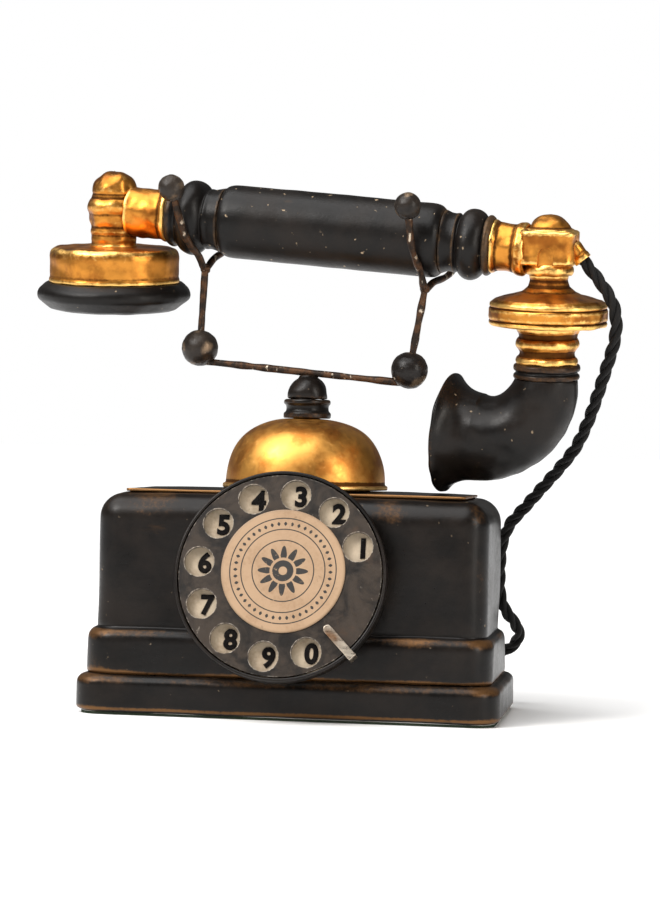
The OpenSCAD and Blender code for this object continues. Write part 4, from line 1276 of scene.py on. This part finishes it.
@dataclass
class Cradle:
    """Cap, bar, two wire forks and their balls, in the cradle's own frame with X along the bar."""

    wire: float = 1.4
    big_ball: float = 7.2
    small_ball: float = 5.15
    ball_rise: float = 5.1
    fork_turn: float = 15.0
    drop: float = 19.6
    elbow: tuple[float, float] = (17.5, -8.2)
    forks: tuple[ForkShape, ...] = (
        ForkShape(Side.LEFT, -44.9, -46.3, 0.0, (31.0, 8.8)),
        ForkShape(Side.RIGHT, 40.3, 44.8, 12.0, (27.5, 5.0)),
    )
    cap_radius: float = 7.9
    cap_z: tuple[float, float] = (121.9, 131.4)

    def fork_points(self, fork: ForkShape, flat: Sequence[Sequence[float]]) -> Grid:
        """Points across and above the handle's axis, rolled about the handle and turned on the bar."""
        across, up = np.array(flat, float).T
        c, s = math.cos(math.radians(fork.roll)), math.sin(math.radians(fork.roll))
        v, w = across * c + up * s, up * c - across * s
        t = math.radians(self.fork_turn)
        return np.stack([fork.joint_at + v * math.sin(t), v * math.cos(t), LAYOUT.handle_rise + w], axis=1)

    def wire_skin(self, path: Grid, seed: int) -> Skin:
        """Hand-bent wire: a round tube whose girth wanders a little."""
        line = along(path, 0.6)
        girth = self.wire * (1 + 0.06 * ripple(line, 7, seed))
        return swept(line, girth, 18, 0.2).placed(LAYOUT.cradle())

    def fork(self, fork: ForkShape, looks: Looks) -> None:
        """Two prongs in one curve, a stem down to the bar, and three balls."""
        elbow, tip = self.elbow, fork.tip
        flat = [[-tip[0], tip[1]], [-elbow[0], elbow[1]], [-6, 4.6 - self.drop], [0, -self.drop],
                [6, 4.6 - self.drop],
                list(elbow), list(tip)]
        prongs = smooth_curve(self.fork_points(fork, flat), 14)
        foot = np.array([fork.ball_at, 0, self.ball_rise])
        neck = self.fork_points(fork, [[0, -self.drop]])[0]
        stem = foot + (neck - foot) * np.linspace(0, 1, 24)[:, None]
        number = 40 + 5 * list(Side).index(fork.side)
        skins = [self.wire_skin(prongs, SEED + number), self.wire_skin(stem, SEED + number + 1)]
        knot = ball(self.wire * 1.35, neck, 24).beaten(0.15, 2, SEED + number + 2).placed(LAYOUT.cradle())
        name = fork.side.value
        fit(solid(f"fork_{name}_wire", [*skins, knot]), looks.wire, "cradle", "wire_iron", f"fork_{name}")
        for part, centre in (("front", prongs[0]), ("rear", prongs[-1])):
            self.knob(f"{name}_{part}_ball", centre, self.small_ball,
                      SEED + number + (3 if part == "front" else 4),
                      looks, "fork_balls")
        self.knob(f"{name}_bar_ball", foot, self.big_ball, SEED + number + 5, looks, "bar_balls")

    def knob(self, name: str, centre: Grid, radius: float, seed: int, looks: Looks, node: str) -> None:
        """A cast ball, a little out of round and pitted."""
        skin = ball(radius, centre, 72).beaten(0.07, radius * 1.2, seed).beaten(0.035, 1.8, seed + 100)
        skin.wear[:] = 0.30 + 0.25 * ripple(skin.points, 6, seed + 200)
        fit(solid(name, skin.placed(LAYOUT.cradle())), looks.balls, "cradle", "ball_brown", node)

    def bar(self, looks: Looks) -> None:
        """The straight bar between the two big balls."""
        path = np.array([[self.forks[0].ball_at, 0, 0], [self.forks[1].ball_at, 0, 0]], float)
        fit(solid("cradle_rod", self.wire_skin(path, SEED + 55)), looks.wire, "cradle", "wire_iron",
            "cradle_bar")

    def cap(self, looks: Looks) -> None:
        """Domed cap on the plunger, worn into flats, that carries the bar."""
        low, high = self.cap_z
        rise = high - low
        dome = arc(0, 1.2, self.cap_radius, 4, 60, 10)
        line = [[0, 0], [self.cap_radius - 0.2, 0], [self.cap_radius, 0.3], *dome, [3.4, rise], [0, rise]]
        skin = lathe(Outline(line, 0.35, 0.3), 120).placed(shift(0, 0, low)).beaten(0.22, 7, SEED + 56)
        fit(solid("plunger_cap", skin), looks.post, "cradle", "case_black", "cradle_cap")

    def build(self, looks: Looks) -> None:
        """Cap, bar and the two forks."""
        self.cap(looks)
        self.bar(looks)
        for fork in self.forks:
            self.fork(fork, looks)


# ---------- the dial ----------


@dataclass
class Dial:
    """Cup, number plate, finger wheel, label and finger stop, with Z out of the dial's face."""

    rim: float = 40.0
    wheel: float = 38.2
    thick: float = 2.0
    cup_depth: float = 6.0
    hole_circle: float = 31.0
    hole: float = 5.65
    first_hole: float = 22.0
    plate_z: tuple[float, float] = (-4.6, -3.8)
    label_radius: float = 23.4
    label_at: tuple[float, float] = (1.2, 1.6)
    label_thick: float = 0.6
    stop_angle: float = -46.0
    digit_height: float = 7.0
    digit_shift: tuple[float, float] = (1.5, -0.2)
    digits: str = "1234567890"

    def hole_places(self) -> list[tuple[float, float]]:
        """Centres of the finger holes, counter-clockwise from the first."""
        angles = [math.radians(self.first_hole + 30 * k) for k in range(len(self.digits))]
        return [(self.hole_circle * math.cos(a), self.hole_circle * math.sin(a)) for a in angles]

    def cup(self, looks: Looks) -> None:
        """Rim and pan."""
        back, pan = -self.cup_depth, -self.cup_depth + 1.4
        inner = self.wheel + 0.5
        line = [[8, back], [self.rim - 0.4, back], [self.rim, back + 0.5], [self.rim, -0.4],
                [self.rim - 0.3, 0.2], [inner + 0.2, 0.2], [inner, -0.1], [inner, pan], [8, pan]]
        skin = lathe(Outline(line, 0.4, 0.18, True), 192).placed(LAYOUT.dial())
        fit(solid("dial_rim", skin), looks.dial_cup, "root", "dial_bronze", "dial_cup", "cup_rim")

    def plate(self, looks: Looks) -> None:
        """Card disc under the wheel."""
        low, high = self.plate_z
        line = [[2.55, low], [self.wheel, low], [self.wheel, high], [2.55, high]]
        skin = lathe(Outline(line, 0.5, 0.1, True), 128).placed(LAYOUT.dial())
        fit(solid("number_card", skin), looks.plate, "root", "plate_cream", "number_plate")

    def numerals(self, looks: Looks) -> None:
        """Raised enamel digits on the plate, one under each finger hole."""
        joined = bmesh.new()
        depth = 0.28
        for digit, (x, y) in zip(self.digits, self.hole_places()):
            text = bpy.data.curves.new(digit, "FONT")
            text.body = digit
            text.size = self.digit_height / 0.70
            text.align_x, text.align_y = "CENTER", "CENTER"
            text.extrude = depth / 2
            text.offset = 0.34
            text.bevel_depth = 0.10
            text.bevel_resolution = 1
            text.resolution_u = 6
            item = bpy.data.objects.new(digit, text)
            bpy.context.scene.collection.objects.link(item)
            bpy.context.view_layer.update()
            mesh = bpy.data.meshes.new_from_object(item.evaluated_get(bpy.context.evaluated_depsgraph_get()))
            place = LAYOUT.dial() @ shift(x + self.digit_shift[0], y + self.digit_shift[1],
                                          self.plate_z[1] + depth / 2)
            mesh.transform(Matrix((place.T * [MM, MM, MM, 1]).T.tolist()))
            joined.from_mesh(mesh)
            bpy.data.objects.remove(item)
        bmesh.ops.remove_doubles(joined, verts=joined.verts, dist=2e-6)
        bmesh.ops.recalc_face_normals(joined, faces=joined.faces)
        mesh = bpy.data.meshes.new("numerals")
        joined.to_mesh(mesh)
        joined.free()
        piece = bpy.data.objects.new("numerals", mesh)
        bpy.context.scene.collection.objects.link(piece)
        fit(piece, looks.ink, "root", "case_black")

    def finger_wheel(self, looks: Looks) -> None:
        """Flat disc with ten holes and rounded edges."""
        disc = prism("finger_disc", circle(self.wheel, 256), -self.thick, 0, LAYOUT.dial())
        holes = [prism(f"bore_{k}", circle(self.hole, 72, at), -self.thick - 1, 1, LAYOUT.dial())
                 for k, at in enumerate(self.hole_places())]
        shaft = prism("bore_shaft", circle(2.5, 48), -self.thick - 1, 1, LAYOUT.dial())
        piece = cut(disc, *holes, shaft)
        fit(bevelled(piece, 0.42), looks.wheel, "dial", "dial_bronze", "finger_wheel")

    def label(self, looks: Looks) -> None:
        """Printed disc, a little off the wheel's centre, with a softly rounded edge."""
        r, t = self.label_radius, self.label_thick
        line = [[0, 0], [r, 0], [r, t - 0.15], [r - 0.25, t], [0, t]]
        skin = lathe(Outline(line, 0.3, 0.12), 160).placed(LAYOUT.dial() @ shift(*self.label_at, 0))
        fit(solid("label_print", skin), looks.label, "dial", "label_paper", "label_disc")

    def stop(self, looks: Looks) -> None:
        """Bent strip from the rim over the wheel, with a rounded tip."""
        half, inner, outer = 1.6, 26.2, 42.0
        tip = [[inner + half - half * math.sin(a), half * math.cos(a)] for a in np.linspace(0, math.pi, 14)]
        flat = np.array([[outer, -half], [outer, half], *tip])
        place = LAYOUT.dial() @ turn("z", self.stop_angle)
        blade = prism("finger_stop_blade", flat, 0.8, 1.8, place)
        foot = np.array([[40.05, -half], [outer, -half], [outer, half], [40.05, half]])
        clip = prism("finger_stop_clip", foot, -5, 1.2, place)
        tool = blade.modifiers.new("join", "BOOLEAN")
        tool.object, tool.operation, tool.solver = clip, "UNION", "EXACT"
        mesh = bpy.data.meshes.new_from_object(blade.evaluated_get(bpy.context.evaluated_depsgraph_get()))
        blade.modifiers.clear()
        blade.data = mesh
        bpy.data.objects.remove(clip)
        fit(bevelled(blade, 0.38), looks.stop, "root", "silver", "finger_stop")

    def build(self, looks: Looks) -> None:
        """Everything that shows of the dial."""
        self.cup(looks)
        self.plate(looks)
        self.numerals(looks)
        self.finger_wheel(looks)
        self.label(looks)
        self.stop(looks)


# ---------- the handset ----------


@dataclass
class Handle:
    """Grip, turned ferrules and gilt sleeves, along the handle's axis."""

    grip_radius: float = 14.4
    grip_ends: tuple[float, float] = (-40.5, 48.2)
    bore: float = 3.5

    def turned(self, line: Sequence[Sequence[float]], soften: float = 0.35) -> Skin:
        """An outline of radius and place along the handle, turned about the handle."""
        return lathe(Outline(line, 0.4, soften, True), 144)

    def grip(self, looks: Looks) -> None:
        """Turned grip with eased ends, not quite round."""
        a, b = self.grip_ends
        r = self.grip_radius
        line = [[self.bore, a], [12.6, a], [r - 0.5, a + 1.8], [r - 0.1, a + 3.6], [r, a + 6], [r, b - 6],
                [r - 0.1, b - 3.6], [r - 0.5, b - 1.8], [12.4, b], [self.bore, b]]
        skin = self.turned(line, 0.6).beaten(0.05, 14, SEED + 60)
        fit(solid("handle_grip", skin.placed(LAYOUT.handle())), looks.handset, "handset", "handset_black",
            "grip")

    def ferrules(self, looks: Looks) -> None:
        """Beads, rings and waists that lead from the grip to the sleeves."""
        a, b = self.grip_ends
        left = [[self.bore, -62.5], [11.2, -62.5], [12, -61.3], [12, -60], [11.0, -58.5],
                *arc(9.2, -52.8, 5.6, -70, 70, 16), [11.9, -46.6], [11.6, -45], [12.0, -43], [12.6, a],
                [self.bore, a]]
        right = [[self.bore, b], [12.4, b], [11.4, 50.6], [11.2, 52.4], [11.6, 53.8],
                 *arc(8.5, 59.8, 5.3, -70, 70, 16),
                 [11.6, 65.2], [11.9, 66.2], [10.9, 67.6], [self.bore, 67.6]]
        skins = [self.turned(line).beaten(0.10, 9, SEED + 61 + k).placed(LAYOUT.handle())
                 for k, line in enumerate((left, right))]
        fit(solid("turned_ferrules", skins), looks.handset, "handset", "handset_black", "ferrules")

    def sleeves(self, looks: Looks) -> None:
        """Beaten gilt tubes between the ferrules and the heads."""
        left = [[self.bore, -79.8], [9.9, -79.8], [9.7, -72], [9.9, -65.2], [10.7, -64.2], [10.5, -62.7],
                [self.bore, -62.5]]
        right = [[self.bore, 67.6], [10.4, 67.6], [10.4, 68.6], [9.5, 69.8], [9.2, 74], [9.3, 76.6],
                 [10.2, 77.8],
                 [10.3, 80.2], [9.6, 81.2], [self.bore, 81.2]]
        skins = [self.turned(line).beaten(0.16, 6, SEED + 64 + k).placed(LAYOUT.handle())
                 for k, line in enumerate((left, right))]
        fit(solid("gilt_sleeves", skins), looks.gold, "handset", "gold_leaf", "sleeves")

    def build(self, looks: Looks) -> None:
        """Grip, ferrules and sleeves."""
        self.grip(looks)
        self.ferrules(looks)
        self.sleeves(looks)


@dataclass
class Receiver:
    """Knob, cup and ear cap, with Z up the receiver's axis."""

    cup_radius: float = 25.9
    cap_radius: float = 30.7
    knob_foot: float = -14.4
    knob_top: float = 15.6
    cup_foot: float = -28.6
    cap_foot: float = -40.0
    sound_holes: int = 6

    def knob(self, looks: Looks) -> None:
        """Two turned bulges under a domed top."""
        line = [[0, self.knob_foot], [9.4, self.knob_foot], [8.9, -13.0], [9.2, -11.4], [8.9, -9.8],
                [9.4, -8.4],
                [9.1, -6.8], [9.8, -4.6], *arc(6.3, 1.2, 4.5, -35, 55, 8), [9.0, 5.8], [8.5, 6.5], [8.9, 7.2],
                *arc(0.2, 6.9, 8.7, 8, 84, 12), [0, self.knob_top]]
        skin = lathe(Outline(line, 0.36, 0.35), 144).placed(LAYOUT.receiver()).beaten(0.20, 6.5, SEED + 66)
        fit(solid("receiver_knob", skin), looks.gold, "handset", "gold_leaf", "receiver_head")

    def cup(self, looks: Looks) -> None:
        """Shallow inverted cup with a rolled foot."""
        r = self.cup_radius
        line = [[r - 2, self.cup_foot], [r + 0.3, self.cup_foot], [r + 0.4, -27.4], [r - 0.1, -26.4],
                [r - 0.2, -18.4],
                *arc(r - 3, -17.4, 2.6, 10, 80, 8), [20, -14.55], [9, -14.4], [0, -14.4], [0, -17],
                [r - 3.2, -17.2],
                [r - 2, -18.5]]
        skin = lathe(Outline(line, 0.42, 0.3, True), 192).placed(LAYOUT.receiver()).beaten(0.14, 9, SEED + 67)
        fit(solid("receiver_shell", skin), looks.gold, "handset", "gold_leaf", "receiver_cup")

    def ear_cap(self, looks: Looks) -> None:
        """Turned black cap with a broad round rim, dished and bored for sound."""
        r, c = self.cap_radius, self.cup_radius
        line = [[c - 2.5, self.cup_foot], [c + 1.2, self.cup_foot], [c + 2.4, -29.5],
                *arc(r - 3.6, -33.2, 3.6, 60, -35, 14),
                [27.6, -37.2], [25.4, -39], [23, -39.8], [20, self.cap_foot], [10, -38.6], [0, -37.6],
                [0, -30.4],
                [c - 2.5, -30.4]]
        skin = lathe(Outline(line, 0.45, 0.35, True), 168).placed(LAYOUT.receiver())
        skin = skin.beaten(0.10, 11, SEED + 68)
        cap = solid("ear_piece", skin)
        angles = np.arange(self.sound_holes) * FULL_TURN / self.sound_holes
        ring = [(6 * math.cos(a), 6 * math.sin(a)) for a in angles]
        bores = [prism(f"sound_{k}", circle(1.4, 28, at), -45, -25, LAYOUT.receiver()) for k,
                 at in enumerate([(0, 0), *ring])]
        fit(cut(cap, *bores), looks.handset, "handset", "handset_black", "ear_cap")

    def build(self, looks: Looks) -> None:
        """Knob, cup and cap."""
        self.knob(looks)
        self.cup(looks)
        self.ear_cap(looks)


@dataclass
class Transmitter:
    """Block head, ribbed disc and tube, black rings and horn, with Z up the transmitter's axis."""

    block_half: tuple[float, float] = (10.5, 9.8)
    block_z: tuple[float, float] = (-5.0, 8.2)
    dome_top: float = 14.2
    disc_radius: float = 22.8
    tube_foot: float = -43.2
    ring_radius: float = 12.7
    horn_top: float = -48.9
    bend: float = 24.6
    sweep: float = 93.5
    straight: float = 12.8
    neck: float = 12.0
    throat_growth: float = 5.2
    mouth: float = 23.6
    flare: float = 2.6
    wall: float = 2.0

    def head(self, looks: Looks) -> None:
        """Squared block under a domed cap, with an arched recess in its front and a bead below."""
        w, d = self.block_half
        low, high = self.block_z
        rows = [[0.5, low, 0.5, 0.4], [w - 0.8, low, d - 0.8, 3.0], [w, low + 0.8, d, 3.5],
                [w - 0.3, 2, d - 0.3, 3.5],
                [w, high - 0.7, d, 3.5], [w - 0.7, high, d - 0.7, 3.2], [0.5, high, 0.5, 0.4]]
        block = Plan(10, 26, 26).skin(Outline(rows, 0.34, 0.28), False)
        ends = [np.repeat(np.array([[[0.0, 0.0, z]]]), block.points.shape[1], axis=1) for z in (low, high)]
        block = Skin(np.concatenate([ends[0], block.points, ends[1]]),
                     np.concatenate([block.wear[:1], block.wear, block.wear[-1:]]))
        dome = lathe(Outline([[0, high - 1], [9.4, high - 1], [9.9, high + 0.2], [9.0, high + 0.7],
                              *arc(0, 4.6, 9.5, 28, 84, 12), [0, self.dome_top]], 0.34, 0.3), 120)
        bead = lathe(Outline([[0, -9.0], [8.6, -9.0], [9.4, -7.8], [9.4, -6.4], [8.8, -5.2], [8.4, -4.6],
                              [0, -4.6]],
                             0.34, 0.3), 120)
        crown = [[3 * math.cos(a), -1.5 + 3.4 * math.sin(a)] for a in np.linspace(0, math.pi, 18)]
        arch = [[-3, -6], [3, -6], *crown]
        cutter = prism("arch_recess", np.array(arch), 8.3, 13, LAYOUT.transmitter() @ turn("x", 90))
        piece = solid("transmitter_block", block.beaten(0.16, 6, SEED + 70).placed(LAYOUT.transmitter()))
        cut(piece, cutter)
        rest = [dome.beaten(0.16, 6, SEED + 71), bead.beaten(0.12, 5, SEED + 72)]
        fit(piece, looks.gold, "handset", "gold_leaf", "transmitter_head")
        extra = solid("transmitter_dome", [skin.placed(LAYOUT.transmitter()) for skin in rest])
        fit(extra, looks.gold, "handset", "gold_leaf", "transmitter_head")

    def disc(self, looks: Looks) -> None:
        """Neck that spreads into a disc with two grooves round its edge."""
        r = self.disc_radius
        line = [[0, -8.8], [0, -28.6], [r - 2.4, -28.6], [r - 0.4, -28.2], [r - 0.1, -27.4], [r - 0.2, -26.7],
                [r - 0.8, -26.4], [r - 0.1, -26.1], [r + 0.15, -25.4], [r + 0.15, -22.3], [r - 0.1, -21.7],
                [r - 0.8, -21.4], [r - 0.2, -21.1], [r - 0.3, -19.9], [r - 2.2, -18.4], [14, -16.6],
                [10.4, -15.4], [8, -13.4],
                [7.2, -11], [7.6, -8.8], [0, -8.8]]
        skin = lathe(Outline(line[1:], 0.3, 0.2), 192).placed(LAYOUT.transmitter()).beaten(0.12, 8, SEED + 73)
        fit(solid("transmitter_plate", skin), looks.gold, "handset", "gold_leaf", "transmitter_disc")

    def tube(self, looks: Looks) -> None:
        """Ribbed gilt tube."""
        foot = self.tube_foot
        line = [[8, foot], [11.7, foot], [12.1, -42.2], [11.8, -41.0], [10.8, -40.0], [10.7, -38.6],
                [11.4, -37.6],
                [12.3, -36.4], [12.4, -35.2], [11.9, -34.0], [11.0, -33.0], [11.1, -31.6], [11.8, -30.6],
                [12.1, -29.6],
                [12.0, -28.6], [8, -28.6]]
        skin = lathe(Outline(line, 0.3, 0.3, True), 144).placed(LAYOUT.transmitter())
        skin = skin.beaten(0.16, 6, SEED + 74)
        fit(solid("ribbed_tube", skin), looks.gold, "handset", "gold_leaf", "mouth_tube")

    def rings(self, looks: Looks) -> None:
        """Two black rings between the tube and the horn."""
        r = self.ring_radius
        line = [[8, self.horn_top], [r - 0.2, self.horn_top], [r + 0.1, -48.2], [r, -47.3], [11.9, -46.7],
                [11.9, -46.2],
                [r + 0.1, -45.5], [r + 0.2, -44.6], [r, -43.7], [r - 0.7, -43.2], [8, -43.2]]
        skin = lathe(Outline(line, 0.3, 0.16, True), 144).placed(LAYOUT.transmitter())
        skin = skin.beaten(0.09, 8, SEED + 75)
        fit(solid("horn_rings", skin), looks.horn, "handset", "horn_black", "tube_rings")

    def horn_skin(self) -> Skin:
        """A round section that grows along a bend and a short straight, then turns back inside its own wall.

        The radius grows as a power of the angle round the bend, and as a steeper power along the straight.
        """
        s = np.concatenate([np.linspace(0, 0.72, 60), np.linspace(0.72, 1, 46)[1:]])
        angle = np.minimum(1, s / 0.72)
        run = np.maximum(0, (s - 0.72) / 0.28)
        radius = self.neck + self.throat_growth * angle**0.9
        radius = radius + (self.mouth - self.neck - self.throat_growth) * run**self.flare
        lip = np.linspace(0, math.pi, 12)[1:-1]
        half = self.wall / 2
        stations = np.concatenate([s, 1 + 0 * lip, s[::-1]])
        radii = np.concatenate([radius, self.mouth - half + half * np.cos(lip), radius[::-1] - self.wall])
        ahead = np.concatenate([0 * s, 0.9 * np.sin(lip), 0 * s])
        a = np.radians(self.sweep) * np.minimum(1, stations / 0.72)
        q = np.maximum(0, (stations - 0.72) / 0.28) * self.straight + ahead
        centre = np.stack([-self.bend + self.bend * np.cos(a) - q * np.sin(a), 0 * a,
                           self.horn_top - self.bend * np.sin(a) - q * np.cos(a)], axis=1)
        side = np.stack([np.cos(a), 0 * a, -np.sin(a)], axis=1)
        t = np.arange(128) * FULL_TURN / 128
        across = np.array([0.0, -1.0, 0.0])
        ring = np.cos(t)[None, :, None] * side[:, None, :] + np.sin(t)[None, :, None] * across
        points = centre[:, None, :] + radii[:, None, None] * ring
        wear = np.exp(-(((stations - 1) / 0.035) ** 2)) * 0.8
        wear = wear + 0.25 * np.exp(-((stations / 0.05) ** 2))
        return Skin(points, np.repeat(wear[:, None], len(t), axis=1), True)

    def horn(self, looks: Looks) -> None:
        """Cast horn with a rolled, chipped mouth."""
        skin = self.horn_skin()
        skin.beaten(0.14, 9, SEED + 76)
        fit(solid("horn_casting", skin.placed(LAYOUT.horn())), looks.horn, "handset", "horn_black", "horn")

    def gland(self, looks: Looks) -> None:
        """Short turned socket that the cord leaves by."""
        place = LAYOUT.transmitter() @ shift(8.6, 0, 2.4) @ turn("y", 140)
        line = [[0, 0], [3.3, 0], [3.5, 1], [3.2, 4.4], [3.5, 5.4], [3.45, 7.1], [2.6, 7.3], [2.5, 6.1],
                [0, 6.1]]
        skin = lathe(Outline(line, 0.25, 0.12), 72).placed(place)
        fit(solid("cord_socket", skin), looks.gold, "handset", "gold_leaf", "cord_bush")

    def build(self, looks: Looks) -> None:
        """Head, disc, tube, rings, horn and gland."""
        self.head(looks)
        self.disc(looks)
        self.tube(looks)
        self.rings(looks)
        self.horn(looks)
        self.gland(looks)


# ---------- the works ----------


@dataclass
class Works:
    """Finishes for the nodes that keep their own shape."""

    steel: tuple[str, ...] = ("base_plate", "plunger", "hook_spring", "switch_bracket", "lever_pin",
                              "dial_shaft",
                              "dial_frame", "condenser", "handle_tube", "receiver_unit",
                              "transmitter_unit", "armature_pin")
    brass: tuple[str, ...] = ("base_screws", "gong_spacer", "post_nut", "hook_lever", "dial_gear",
                              "spring_barrel",
                              "governor_pinion", "clapper", "terminal_screws")
    copper: tuple[str, ...] = ("switch_contacts", "impulse_contacts", "ringer_coils", "induction_coil")
    iron: tuple[str, ...] = ("ringer_frame", "armature")
    fibre: tuple[str, ...] = ("terminal_block",)
    felt: tuple[str, ...] = ("base_felt",)
    rubber: tuple[str, ...] = ("cord_grommet",)

    def build(self, looks: Looks) -> None:
        """Gives each node its material."""
        for kind in ("steel", "brass", "copper", "iron", "fibre", "felt", "rubber"):
            for name in getattr(self, kind):
                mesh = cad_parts[name].data
                mesh.materials.clear()
                mesh.materials.append(getattr(looks, kind))
                LOG.info("%s: %s", name, kind)


def main() -> None:
    """Builds the studio, the cord and every sub-assembly."""
    logging.basicConfig(level=logging.INFO, format="%(name)s: %(message)s")
    Studio().build()
    looks = Looks()
    for assembly in (HandsetCord(), Case(), Bell(), Cradle(), Dial(), Handle(), Receiver(), Transmitter(),
                     Works()):
        assembly.build(looks)


if __name__ == "__main__":
    main()
